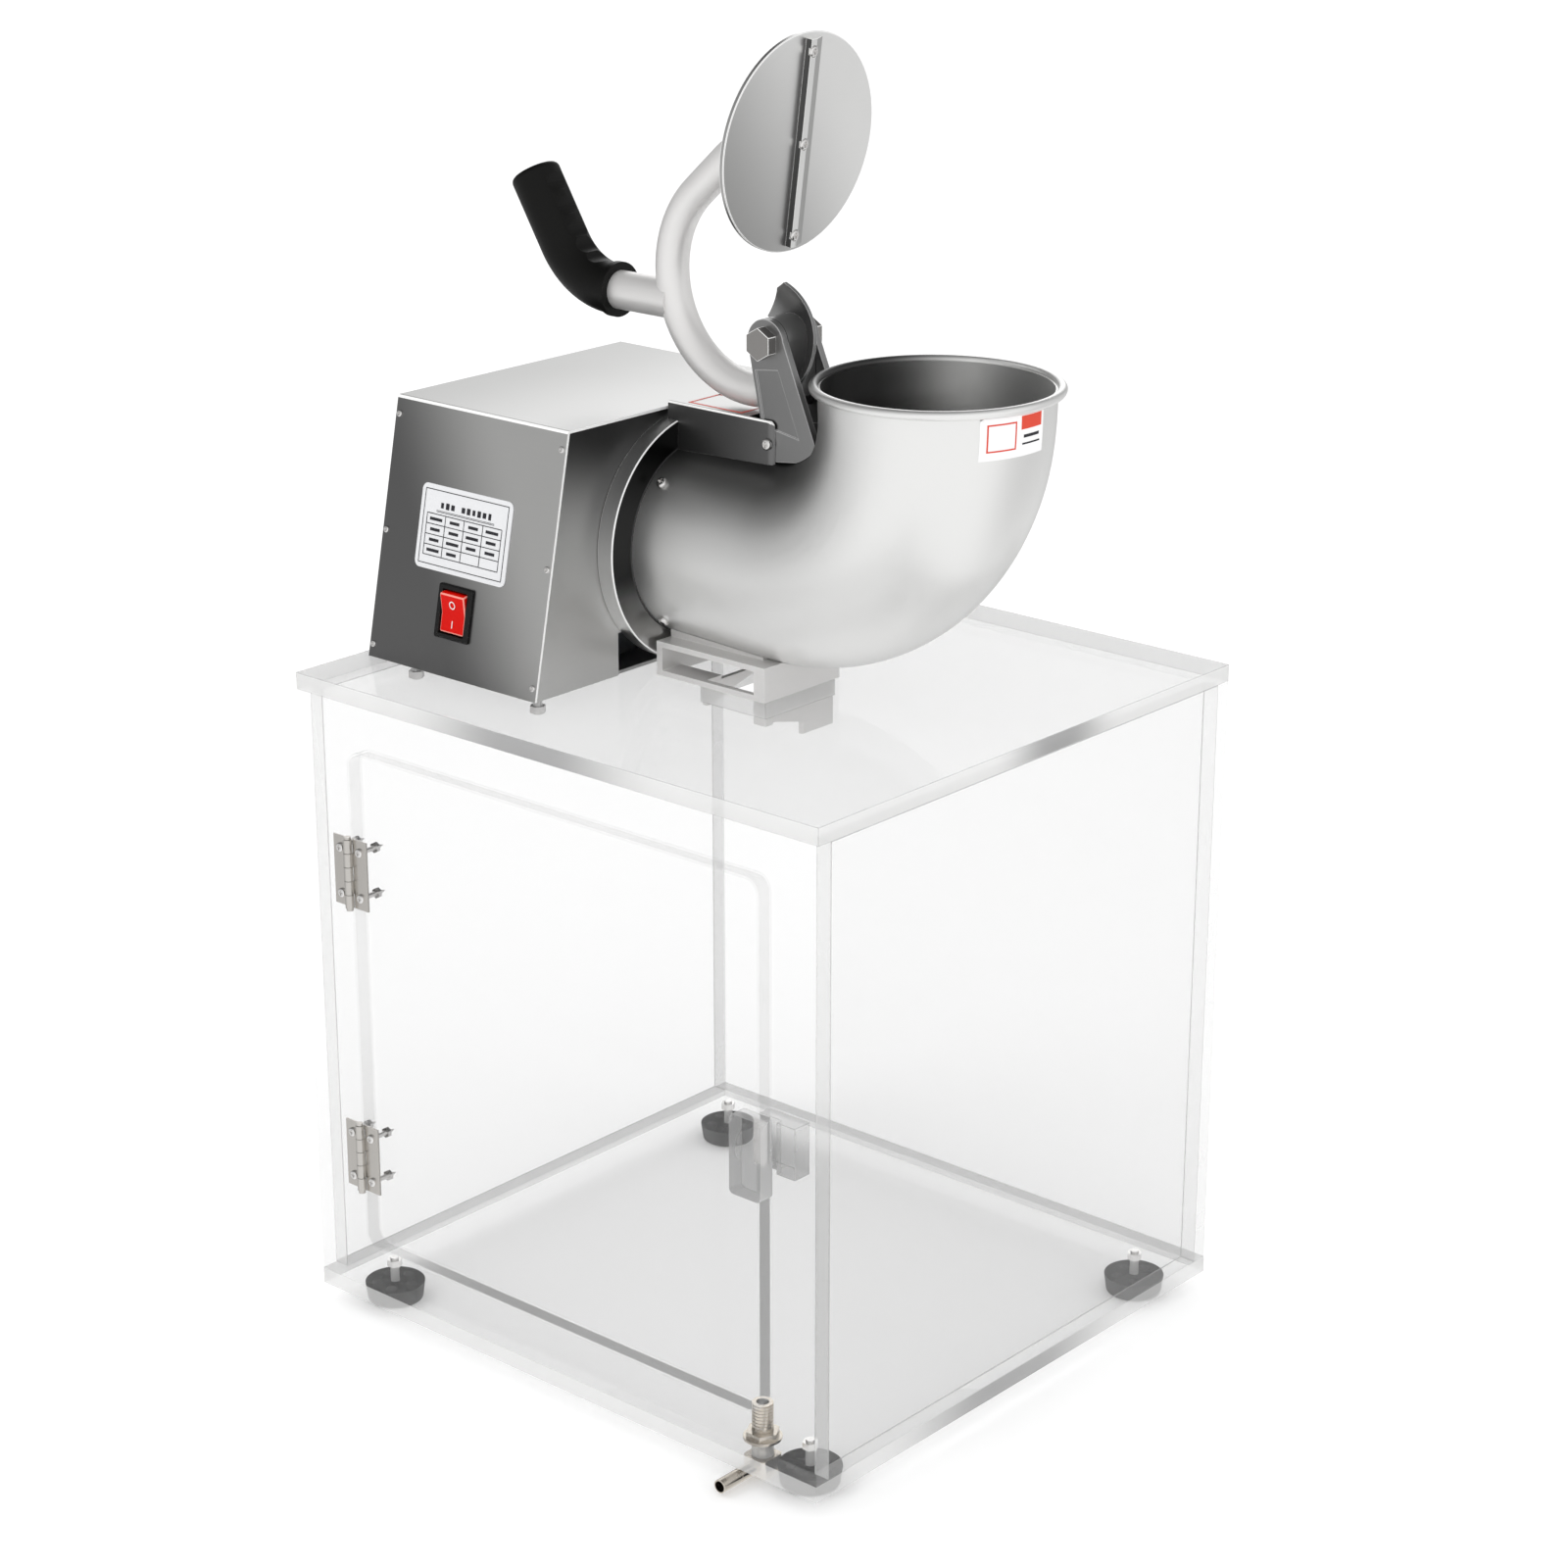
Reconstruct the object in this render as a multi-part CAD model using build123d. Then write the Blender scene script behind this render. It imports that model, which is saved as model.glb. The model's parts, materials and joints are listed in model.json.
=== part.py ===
from build123d import *
import math
import os

# Shaved ice machine: a motor housing, an ice drum with an elbow hopper and a press lever, standing on a
# clear bin with a hinged door.  Millimetres.  The origin is the centre of the bin's footprint on the
# standing surface, +Z is up, the door faces -Y and the hopper is towards +X.

# ---- bin ------------------------------------------------------------------------------------------
bin_width = 390.0
bin_depth = 360.0
bin_height = 385.0
panel_thickness = 10.0
foot_height = 11.0
foot_radius = 18.0
foot_inset = 30.0
foot_pocket_radius = 3.2
foot_pocket_circle = 11.0
foot_pocket_depth = 6.0
foot_recess_depth = 5.0
foot_screw_radius = 2.5

# ---- door -----------------------------------------------------------------------------------------
door_side_margin = 40.0
door_bottom_margin = 38.0
door_top_margin = 38.0
door_gap = 1.5
door_corner_radius = 9.0
hinge_height = 42.0
hinge_leaf_width = 13.5
hinge_leaf_thickness = 1.2
hinge_knuckle_radius = 2.6
hinge_pin_radius = 1.2
hinge_heights = (96.0, 274.0)
hinge_screw_radius = 1.5
handle_height = 194.0
handle_size = (22.0, 10.0, 46.0)
catch_length = 30.0

# ---- drain ----------------------------------------------------------------------------------------
drain_side_inset = 57.0
drain_front_inset = 21.5
drain_thread_radius = 6.0
drain_bore_radius = 3.6
drain_rise = 22.0
drain_pipe_radius = 4.0
drain_pipe_wall = 0.8
drain_pipe_reach = 14.0
drain_groove_width = 1.0
drain_groove_depth = 0.25
drain_block_half = 8.0
drain_block_height = 10.5
drain_nut_flats = 17.0
drain_nut_height = 5.0
drain_washer_radius = 11.0
drain_washer_height = 1.6

# ---- motor casing ---------------------------------------------------------------------------------
casing_width = 134.5
casing_inset = 7.5
casing_base_depth = 245.0
casing_top_depth = 184.0
casing_height = 148.0
sheet = 1.5
base_plate_thickness = 2.0
casing_screw_radius = 1.1
casing_screw_inset = 3.0
casing_screw_low = 7.5
casing_screw_high = 140.5
notch_width = 111.0
notch_height = 25.0
plate_size = (72.0, 48.0)
plate_thickness = 0.8
plate_rise = 82.0
plate_side = 65.0
switch_size = (27.0, 31.0)
switch_rise = 37.0
switch_side = 65.0
bezel_proud = 2.0
rocker_size = (19.0, 24.0)
rocker_tilt = 9.0
rocker_axis_depth = 2.0
gland_radius = 9.0
cord_hole_radius = 3.75

# ---- drive ----------------------------------------------------------------------------------------
machine_y = -8.5
shaft_radius = 6.0
running_clearance = 0.05
motor_radius = 48.0
stator_length = 64.0
bell_length = 16.0
rotor_radius = 27.5
bearing_radius = 14.0
bearing_width = 9.0
seal_radius = 11.0
seal_depth = 7.0
spigot_radius = 20.0
spigot_depth = 2.4
capacitor_radius = 16.0
capacitor_length = 52.0

# ---- drum, hopper and chute -----------------------------------------------------------------------
flange_radius = 71.5
flange_thickness = 11.6
flange_lift = 1.1
hopper_wall = 1.5
hopper_start_radius = 55.5
hopper_mouth_radius = 63.8
hopper_straight = 73.7
hopper_bend_radius = 97.8
hopper_neck = 14.3
lip_radius = 2.6
sleeve_wall = 3.4
drum_bolt_radius = 3.0
housing_screw_radius = 1.5
drum_bolt_circle = 40.0
blade_disc_thickness = 6.0
blade_disc_clearance = 1.0
disc_nut_flats = 19.0
disc_nut_height = 8.0
disc_nut_cap_radius = 8.5
chute_size = (81.0, 64.0, 20.0)
chute_offset = 3.4
chute_front_offset = 40.0
chute_wall = 4.0
chute_rail = 3.2
spout_sheet = 3.2
window_front = 24.0
window_back = 18.0
spout_width = 50.0

# ---- saddle cover -----------------------------------------------------------------------------------
saddle_offset = 4.4
saddle_length = 80.0
saddle_rise = 152.6
saddle_sheet = 1.6
saddle_side_gap = 0.2

# ---- lever ----------------------------------------------------------------------------------------
pivot_offset = 75.0
pivot_rise = 195.0
pivot_radius = 5.0
fork_gap = 21.6
arm_thickness = 4.4
arm_radius = 13.0
hub_play = 0.35
swing_to_mouth = 82.4
plate_over_mouth = 13.5
press_plate_radius = 60.0
press_plate_thickness = 3.0
bow_radius = 60.0
bow_tube_radius = 9.5
bow_tube_wall = 1.5
bow_centre = (-22.0, 28.5)
bow_end_turn = 25.0
handle_tube_radius = 11.0
handle_tube_wall = 1.5
handle_drop = 18.0
handle_run = 47.0
handle_bend_radius = 46.0
handle_bend_turn = 58.0
handle_end_run = 41.0
grip_wall = 3.4
grip_fit = 0.05
grip_lap = 4.0
grip_end = 4.0
finger_radius = 9.0
finger_depth = 1.8
rib_height = 4.0
rib_top_width = 4.4
rib_width = 12.6
rib_seat = 2.6
rib_screw_inset = 2.8
rib_screw_pitch = 50.0
plate_screw_radius = 1.5
plate_screw_head = 3.0
hub_reach = 38.0
guard_radius = 37.0
guard_dish = 44.0
guard_sheet = 2.0

# ---- places worked out from the sizes above ---------------------------------------------------------
half_width = bin_width / 2
half_depth = bin_depth / 2
floor_bottom = foot_height
floor_top = floor_bottom + panel_thickness
bin_top = floor_bottom + bin_height
lid_bottom = bin_top - panel_thickness
front_face = -half_depth
front_inside = front_face + panel_thickness
door_left = -half_width + door_side_margin
door_right = half_width - door_side_margin
door_bottom = floor_bottom + door_bottom_margin
door_top = bin_top - door_top_margin
hinge_x = door_left + door_gap / 2
hinge_y = front_face - hinge_knuckle_radius - 0.2
casing_left = -half_width + casing_inset
casing_right = casing_left + casing_width
casing_lean = (casing_base_depth - casing_top_depth) / 2
axis_z = bin_top + flange_lift + flange_radius
flange_back = casing_right
flange_front = flange_back + flange_thickness
bend_start_x = flange_front + hopper_straight
mouth_x = bend_start_x + hopper_bend_radius
mouth_z = axis_z + hopper_bend_radius + hopper_neck
sleeve_radius = hopper_start_radius - hopper_wall - 0.05
disc_radius = sleeve_radius - sleeve_wall - blade_disc_clearance
disc_front = bend_start_x + 5.0
disc_back = disc_front - blade_disc_thickness
pivot_x = flange_back + pivot_offset
pivot_z = bin_top + pivot_rise
hub_width = fork_gap - 2 * hub_play
chute_left = flange_front + chute_offset
chute_right = chute_left + chute_size[0]
chute_front = machine_y - chute_front_offset
chute_back = chute_front + chute_size[1]
spout_left = chute_right - spout_width
hopper_length = hopper_straight + hopper_bend_radius * math.pi / 2 + hopper_neck
bell_front = casing_right - sheet
stator_front = bell_front - bell_length
stator_back = stator_front - stator_length
bell_back = stator_back - bell_length
saddle_left = flange_back + saddle_offset
saddle_right = saddle_left + saddle_length
saddle_half = fork_gap / 2 + arm_thickness + saddle_side_gap + saddle_sheet
saddle_top = bin_top + saddle_rise
pipe_z = floor_bottom - drain_block_height / 2
handle_bottom = floor_bottom + handle_height - handle_size[2] / 2
catch_bottom = floor_bottom + handle_height - catch_length / 2


# ---- small helpers ----------------------------------------------------------------------------------
def block(x0, x1, y0, y1, z0, z1):
    """A box from its low and high limits."""
    return Pos((x0 + x1) / 2, (y0 + y1) / 2, (z0 + z1) / 2) * Box(x1 - x0, y1 - y0, z1 - z0)


def rod(axis, radius, start, end, a, b):
    """A cylinder along X, Y or Z between two limits; a and b are its other two coordinates in order."""
    length = end - start
    middle = (start + end) / 2
    if axis == "x":
        return Pos(middle, a, b) * Rot(0, 90, 0) * Cylinder(radius, length)
    if axis == "y":
        return Pos(a, middle, b) * Rot(90, 0, 0) * Cylinder(radius, length)
    return Pos(a, b, middle) * Cylinder(radius, length)


def prism_x(points, x0, x1, y=0.0, z=0.0):
    """A prism along X from an outline of (Y, Z) points about a place in the YZ plane."""
    outline = Plane.YZ * Pos(y, z) * Polygon(*points, align=None)
    return Pos(x0, 0, 0) * extrude(outline, x1 - x0, dir=(1, 0, 0))


def prism_y(points, y0, y1, x=0.0, z=0.0):
    """A prism along Y from an outline of (X, Z) points about a place in the XZ plane."""
    outline = Plane.XZ * Pos(x, z) * Polygon(*points, align=None)
    return Pos(0, y0, 0) * extrude(outline, y1 - y0, dir=(0, 1, 0))


def hex_prism(across_flats, height):
    """A hexagon standing on the local XY plane."""
    return extrude(RegularPolygon(across_flats / 2, 6, major_radius=False), height)


def pan_screw(shank_radius, length, head_radius, head_height):
    """A cross-recess pan screw with its head above the local XY plane and its shank below."""
    head = Pos(0, 0, head_height / 2) * Cylinder(head_radius, head_height)
    head = fillet(head.edges().sort_by(Axis.Z)[-1], head_height * 0.6)
    slot = Box(head_radius * 1.1, head_radius * 0.28, head_height)
    recess = Pos(0, 0, head_height) * (slot + Rot(0, 0, 90) * slot)
    shank = Pos(0, 0, -length / 2) * Cylinder(shank_radius, length)
    return head - recess + shank


def at(point, direction, shape, x_dir=None):
    """Place a shape's local Z along a direction at a point."""
    return Plane(origin=point, z_dir=direction, x_dir=x_dir) * shape


def group(shapes):
    """Separate solids that share one node."""
    return Compound(children=[s for shape in shapes for s in shape.solids()])


# ---- bin --------------------------------------------------------------------------------------------
def foot_places():
    x = half_width - foot_inset
    y = half_depth - foot_inset
    return [(sx * x, sy * y) for sx in (-1, 1) for sy in (-1, 1)]


def drain_place():
    return half_width - drain_side_inset, front_face + drain_front_inset


def floor_panel():
    panel = block(-half_width, half_width, -half_depth, half_depth, floor_bottom, floor_top)
    for x, y in foot_places():
        panel -= rod("z", foot_screw_radius + 0.2, floor_bottom - 1, floor_top + 1, x, y)
    x, y = drain_place()
    return panel - rod("z", drain_thread_radius + 0.2, floor_bottom - 1, floor_top + 1, x, y)


def hold_down_places():
    x0 = casing_left + 18
    x1 = casing_right - 18
    y = casing_base_depth / 2 - 20
    return [(x, machine_y + s * y) for x in (x0, x1) for s in (-1, 1)]


def top_panel():
    panel = block(-half_width, half_width, -half_depth, half_depth, lid_bottom, bin_top)
    panel -= block(
        spout_left, chute_right - 1.5, chute_front + 2.5, chute_back - 2, lid_bottom - 1, bin_top + 1
    )
    for x, y in hold_down_places():
        panel -= rod("z", 2.7, lid_bottom - 1, bin_top + 1, x, y)
    return panel


def side_panel(side):
    outer = side * half_width
    inner = side * (half_width - panel_thickness)
    y = half_depth - panel_thickness
    return block(min(outer, inner), max(outer, inner), -y, y, floor_top, lid_bottom)


def back_panel():
    return block(-half_width, half_width, half_depth - panel_thickness, half_depth, floor_top, lid_bottom)


def rounded_slab(x0, x1, z0, z1, radius, y0, y1):
    """A slab in the XZ plane with rounded corners, between two depths."""
    face = Plane.XZ * Pos((x0 + x1) / 2, (z0 + z1) / 2) * RectangleRounded(x1 - x0, z1 - z0, radius)
    return Pos(0, y1, 0) * extrude(face, y1 - y0)


def hinge_screw_places(side):
    """Screw centres on one side of the hinge line: -1 is the frame and 1 is the door."""
    x = hinge_x + side * (hinge_leaf_width * 0.58)
    return [(x, floor_bottom + h + s * hinge_height * 0.33) for h in hinge_heights for s in (-1, 1)]


def drill_hinge_holes(panel, side):
    for x, z in hinge_screw_places(side):
        panel -= rod("y", hinge_screw_radius + 0.1, front_face - 2, front_inside + 1, x, z)
    return panel


def front_frame():
    frame = block(-half_width, half_width, front_face, front_inside, floor_top, lid_bottom)
    frame -= rounded_slab(
        door_left, door_right, door_bottom, door_top, door_corner_radius, front_face - 1, front_inside + 1
    )
    return drill_hinge_holes(frame, -1)


def door_panel():
    door = rounded_slab(
        door_left + door_gap,
        door_right - door_gap,
        door_bottom + door_gap,
        door_top - door_gap,
        door_corner_radius - door_gap,
        front_face,
        front_inside,
    )
    return drill_hinge_holes(door, 1)


def rubber_foot():
    foot = Pos(0, 0, foot_height / 2) * Cone(foot_radius - 1.5, foot_radius, foot_height)
    foot = fillet(foot.edges().filter_by(GeomType.CIRCLE).sort_by(Axis.Z)[0], 1.5)
    foot -= rod("z", foot_screw_radius + 0.2, -1, foot_height + 1, 0, 0)
    foot -= rod("z", foot_screw_radius * 2.6, -1, foot_recess_depth, 0, 0)
    foot -= rod("z", foot_pocket_radius, foot_height - 2.5, foot_height + 1, 0, 0)
    for i in range(5):
        turn = math.radians(72 * i + 90)
        x = foot_pocket_circle * math.cos(turn)
        y = foot_pocket_circle * math.sin(turn)
        foot -= rod("z", foot_pocket_radius, foot_height - foot_pocket_depth, foot_height + 1, x, y)
    return foot


def rubber_feet():
    return group([Pos(x, y, 0) * rubber_foot() for x, y in foot_places()])


def foot_fasteners():
    shapes = []
    nut_height = 4.0
    shank = floor_top + nut_height + 1.5 - foot_recess_depth
    for x, y in foot_places():
        screw = pan_screw(foot_screw_radius, shank, foot_screw_radius * 2, 3.0)
        shapes.append(at((x, y, foot_recess_depth), (0, 0, -1), screw))
        nut = hex_prism(8.0, nut_height) - rod("z", foot_screw_radius + 0.05, -1, nut_height + 1, 0, 0)
        shapes.append(Pos(x, y, floor_top) * nut)
    return group(shapes)


# ---- drain ------------------------------------------------------------------------------------------
def drain_fitting():
    x, y = drain_place()
    side = 2 * drain_block_half
    body = Pos(x, y, floor_bottom - drain_block_height / 2) * Box(side, side, drain_block_height)
    body = fillet(body.edges().filter_by(Axis.Z), 2.5)
    body += rod("z", drain_thread_radius, floor_bottom - 1, floor_top + drain_rise, x, y)
    for i in range(int(drain_rise / 2) - 3):
        z = floor_top + 7 + 2 * i
        ring = rod("z", drain_thread_radius + 1, z, z + 0.7, x, y)
        body -= ring - rod("z", drain_thread_radius - 0.4, z, z + 0.7, x, y)
    body -= rod("z", drain_bore_radius, pipe_z, floor_top + drain_rise + 1, x, y)
    return body - rod("y", drain_pipe_radius, y - drain_block_half - 1, y, x, pipe_z)


def drain_nut():
    x, y = drain_place()
    nut = Pos(x, y, floor_top) * hex_prism(drain_nut_flats, drain_nut_height)
    nut += rod("z", drain_washer_radius, floor_top, floor_top + drain_washer_height, x, y)
    bore_top = floor_top + drain_nut_height + 1
    return nut - rod("z", drain_thread_radius + 0.05, floor_top - 1, bore_top, x, y)


def drain_pipe():
    """The outlet pipe, with a fine groove that marks how far a hose goes on."""
    x, y = drain_place()
    end = front_face - drain_pipe_reach
    groove_end = front_face + drain_groove_width
    pipe = rod("y", drain_pipe_radius, end, front_face, x, pipe_z)
    pipe += rod("y", drain_pipe_radius - drain_groove_depth, end + 1, groove_end + 1, x, pipe_z)
    pipe += rod("y", drain_pipe_radius, groove_end, y - 0.5, x, pipe_z)
    return pipe - rod("y", drain_pipe_radius - drain_pipe_wall, end - 1, y + 1, x, pipe_z)


# ---- hinges, handle and catch -------------------------------------------------------------------------
def hinge_leaf(side, centre_z):
    """One leaf with its knuckles; the frame leaf has three of the five and the door leaf two."""
    low = centre_z - hinge_height / 2
    step = hinge_height / 5
    x_edge = hinge_x + side * hinge_leaf_width
    x_root = hinge_x + side * (hinge_knuckle_radius - 1.2)
    x0 = min(x_edge, x_root)
    x1 = max(x_edge, x_root)
    leaf = block(x0, x1, front_face - hinge_leaf_thickness, front_face, low, low + hinge_height)
    owned = (0, 2, 4) if side < 0 else (1, 3)
    gap = 0.15
    for i in range(5):
        z0 = low + i * step
        z1 = z0 + step
        if i in owned:
            leaf += rod("z", hinge_knuckle_radius, z0 + gap, z1 - gap, hinge_x, hinge_y)
        else:
            leaf -= rod("z", hinge_knuckle_radius + 0.3, z0 - gap, z1 + gap, hinge_x, hinge_y)
    leaf -= rod("z", hinge_pin_radius + running_clearance, low - 1, low + hinge_height + 1, hinge_x, hinge_y)
    return leaf


def hinge_leaves(side):
    leaves = []
    for h in hinge_heights:
        leaf = hinge_leaf(side, floor_bottom + h)
        for x, z in hinge_screw_places(side):
            leaf -= rod("y", hinge_screw_radius + 0.1, front_face - 3, front_face + 1, x, z)
        leaves.append(leaf)
    return group(leaves)


def hinge_pins():
    pins = []
    for h in hinge_heights:
        low = floor_bottom + h - hinge_height / 2
        pin = rod("z", hinge_pin_radius, low - 0.6, low + hinge_height + 0.6, hinge_x, hinge_y)
        for z in (low - 1.4, low + hinge_height):
            pin += rod("z", hinge_knuckle_radius * 0.8, z, z + 1.4, hinge_x, hinge_y)
        pins.append(pin)
    return group(pins)


def hinge_fasteners(side):
    """Screws through the leaf and the clear panel, each with a nut and a pointed tip behind."""
    shapes = []
    nut_height = 2.4
    tip = 3.5
    face = front_face - hinge_leaf_thickness
    length = front_inside + nut_height + 1.0 - face
    for x, z in hinge_screw_places(side):
        screw = pan_screw(hinge_screw_radius, length, 2.7, 1.5)
        screw += Pos(0, 0, -length - tip / 2) * Cone(0.3, hinge_screw_radius, tip)
        shapes.append(at((x, face, z), (0, -1, 0), screw))
        nut = hex_prism(5.5, nut_height) - rod("z", hinge_screw_radius + 0.05, -1, nut_height + 1, 0, 0)
        shapes.append(at((x, front_inside, z), (0, 1, 0), nut))
    return group(shapes)


def door_handle():
    """A clear pull tab on the door's edge that laps the frame and stops the door flush with it."""
    width, depth, height = handle_size
    x0 = door_right - door_gap - width / 2
    x1 = x0 + width
    z0 = handle_bottom
    z1 = z0 + height
    tab = block(x0, x1, front_face - depth, front_face, z0, z1)
    tab = fillet(tab.edges().filter_by(Axis.Y), 3.0)
    relief = block(door_right - door_gap, x1 + 1, front_face - 0.3, front_face + 1, z0 - 1, z1 + 1)
    return tab - relief


def catch_magnet():
    z0 = catch_bottom
    z1 = z0 + catch_length
    arm = block(door_right - 12, door_right + 16, front_inside + 4, front_inside + 12, z0, z1)
    seat = block(door_right + 3, door_right + 16, front_inside, front_inside + 4, z0, z1)
    magnet = block(door_right - 11, door_right - 4, front_inside + 2, front_inside + 4, z0 + 3, z1 - 3)
    return arm + seat + magnet


def catch_strike():
    z0 = catch_bottom + 2
    z1 = catch_bottom + catch_length - 2
    return block(door_right - 13, door_right - 3, front_inside, front_inside + 1.6, z0, z1)


# ---- motor casing -------------------------------------------------------------------------------------
def casing_prism(inset, bottom, x0, x1):
    """The casing's section seen along X, inset by a sheet and cut at a level, between two ends."""
    run = math.hypot(casing_lean, casing_height)
    side = inset * run / casing_height
    slope = casing_lean / casing_height
    top = casing_height - inset
    low = casing_base_depth / 2 - side - bottom * slope
    high = casing_base_depth / 2 - side - top * slope
    points = [(-low, bottom), (low, bottom), (high, top), (-high, top)]
    return prism_x(points, x0, x1, machine_y, bin_top)


def front_slope(side_offset, rise):
    """The plane on the leaning front, at a distance from the left edge and up the slope."""
    run = math.hypot(casing_lean, casing_height)
    up_y = casing_lean / run
    up_z = casing_height / run
    y = machine_y - casing_base_depth / 2 + rise * up_y
    z = bin_top + rise * up_z
    return Plane(origin=(casing_left + side_offset, y, z), x_dir=(1, 0, 0), z_dir=(0, -up_z, up_y))


def mirrored_in_depth(shape):
    """The shape's twin on the other side of the machine's own centre plane."""
    return mirror(shape, Plane.XZ.offset(-machine_y))


def casing_cover():
    cover = casing_prism(0, 0, casing_left, casing_right)
    cover = fillet(cover.edges().filter_by(Axis.X).sort_by(Axis.Z)[-2:], 2.0)
    cover -= casing_prism(sheet, -5, casing_left - 1, casing_right + 1)
    hole = Box(switch_size[0] - 4, switch_size[1] - 4, 6)
    return cover - front_slope(switch_side, switch_rise) * hole


def casing_wall(x0):
    gap = 0.05
    return casing_prism(sheet + gap, 0, x0, x0 + sheet)


def wall_flange(x0, x1):
    """The strip along a wall's sloped edges that the cover's screws bite into."""
    gap = 0.05
    inner = 3 * sheet
    strip = casing_prism(sheet + gap, 4, x0, x1)
    return strip - casing_prism(inner, -5, x0 - 1, x1 + 1)


def casing_right_wall():
    wall = casing_wall(casing_right - sheet) + wall_flange(casing_right - 10, casing_right - sheet)
    notch = block(
        casing_right - 12,
        casing_right + 1,
        machine_y - notch_width / 2,
        machine_y + notch_width / 2,
        bin_top - 1,
        bin_top + notch_height,
    )
    spigot_hole = rod("x", spigot_radius + 0.2, casing_right - 12, casing_right + 1, machine_y, axis_z)
    return drill_drum_bolts(wall) - notch - spigot_hole


def casing_left_wall():
    wall = casing_wall(casing_left) + wall_flange(casing_left + sheet, casing_left + 10)
    for i in range(9):
        y = machine_y - 32 + 8 * i
        slot = block(casing_left - 1, casing_left + sheet + 1, y - 1.5, y + 1.5, axis_z - 25, axis_z + 25)
        wall -= slot
    return wall - rod("x", gland_radius - 1.0, casing_left - 1, casing_left + 4, *gland_place())


def gland_place():
    return machine_y + casing_base_depth / 2 - 42, bin_top + 30


def cord_gland():
    y, z = gland_place()
    gland = rod("x", gland_radius - 1.2, casing_left - 3, casing_left + sheet + 8, y, z)
    gland += at((casing_left - 6, y, z), (1, 0, 0), hex_prism(2 * gland_radius, 6))
    gland += Pos(casing_left - 10, y, z) * Rot(0, -90, 0) * Cone(gland_radius - 1, 5.5, 8)
    gland += at((casing_left + sheet, y, z), (1, 0, 0), hex_prism(2 * gland_radius, 4))
    return gland - rod("x", cord_hole_radius, casing_left - 20, casing_left + 20, y, z)


def casing_screw_places():
    sides = (casing_screw_inset, casing_width - casing_screw_inset)
    rises = (casing_screw_low, casing_height / 2, casing_screw_high)
    return [front_slope(side, rise) for side in sides for rise in rises]


def casing_screws():
    shapes = []
    screw = pan_screw(casing_screw_radius, 6.0, 1.75 * casing_screw_radius, casing_screw_radius)
    for place in casing_screw_places():
        placed = place * screw
        shapes += [placed, mirrored_in_depth(placed)]
    return group(shapes)


def drill_casing_screws(part):
    hole = Cylinder(casing_screw_radius + 0.1, 14)
    for place in casing_screw_places():
        part -= place * hole
        part -= mirrored_in_depth(place * hole)
    return part


def base_plate():
    x0 = casing_left + sheet + 0.3
    x1 = casing_right - sheet - 0.3
    y = casing_base_depth / 2 - 3
    plate = block(x0, x1, machine_y - y, machine_y + y, bin_top, bin_top + base_plate_thickness)
    for x, y in hold_down_places():
        plate -= rod("z", 2.7, bin_top - 1, bin_top + 5, x, y)
    return plate


def hold_down_fasteners():
    shapes = []
    nut_height = 4.0
    head_level = bin_top + base_plate_thickness
    length = head_level - lid_bottom + nut_height + 1
    for x, y in hold_down_places():
        shapes.append(Pos(x, y, head_level) * pan_screw(2.5, length, 4.6, 2.8))
        nut = hex_prism(8.0, nut_height) - rod("z", 2.55, -1, nut_height + 1, 0, 0)
        shapes.append(Pos(x, y, lid_bottom - nut_height) * nut)
    return group(shapes)


def rating_plate():
    face = RectangleRounded(plate_size[0], plate_size[1], 4.0)
    return front_slope(plate_side, plate_rise) * extrude(face, plate_thickness)


# ---- switch -------------------------------------------------------------------------------------------
def switch_bezel():
    width, height = switch_size
    rim = extrude(RectangleRounded(width, height, 1.5), bezel_proud)
    rim = chamfer(rim.faces().sort_by(Axis.Z)[-1].outer_wire().edges(), 0.7)
    body_depth = 22.0
    body = Pos(0, 0, -body_depth / 2) * Box(width - 4.4, height - 4.4, body_depth)
    well = Pos(0, 0, -4) * Box(rocker_size[0] + 0.8, rocker_size[1] + 1.2, 16)
    return front_slope(switch_side, switch_rise) * (rim + body - well)


def rocker():
    """A red paddle that tilts about a level axis; its upper half stands proud at rest."""
    drum = Rot(0, 90, 0) * Cylinder(rocker_size[1] / 2, rocker_size[0])
    top = 4.4
    valley = 3.2
    points = [(-20, top + 1.6), (0, valley), (20, top + 1.6), (20, -7), (-20, -7)]
    half_length = rocker_size[0] / 2
    paddle = Rot(rocker_tilt, 0, 0) * (drum & prism_x(points, -half_length, half_length))
    return front_slope(switch_side, switch_rise) * Pos(0, 0, -rocker_axis_depth) * paddle


# ---- drive --------------------------------------------------------------------------------------------
def motor_stator():
    stator = rod("x", motor_radius, stator_back, stator_front, machine_y, axis_z)
    stator -= rod("x", rotor_radius + 0.6, stator_back - 1, stator_front + 1, machine_y, axis_z)
    for i in range(12):
        turn = math.radians(30 * i)
        y = machine_y + motor_radius * math.cos(turn)
        z = axis_z + motor_radius * math.sin(turn)
        stator -= rod("x", 1.6, stator_back - 1, stator_front + 1, y, z)
    return stator


def motor_bell(inner, outer):
    """An end bell, open towards the stator's face and closed at its outer end around the bearing."""
    low, high = min(inner, outer), max(inner, outer)
    facing = 1 if outer > inner else -1
    seat_face = outer - facing * bearing_width
    bell = rod("x", motor_radius + 0.8, low, high, machine_y, axis_z)
    bell -= rod("x", rotor_radius + 6, min(inner, seat_face), max(inner, seat_face), machine_y, axis_z)
    return bell - rod("x", bearing_radius, low - 1, high + 1, machine_y, axis_z)


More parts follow.
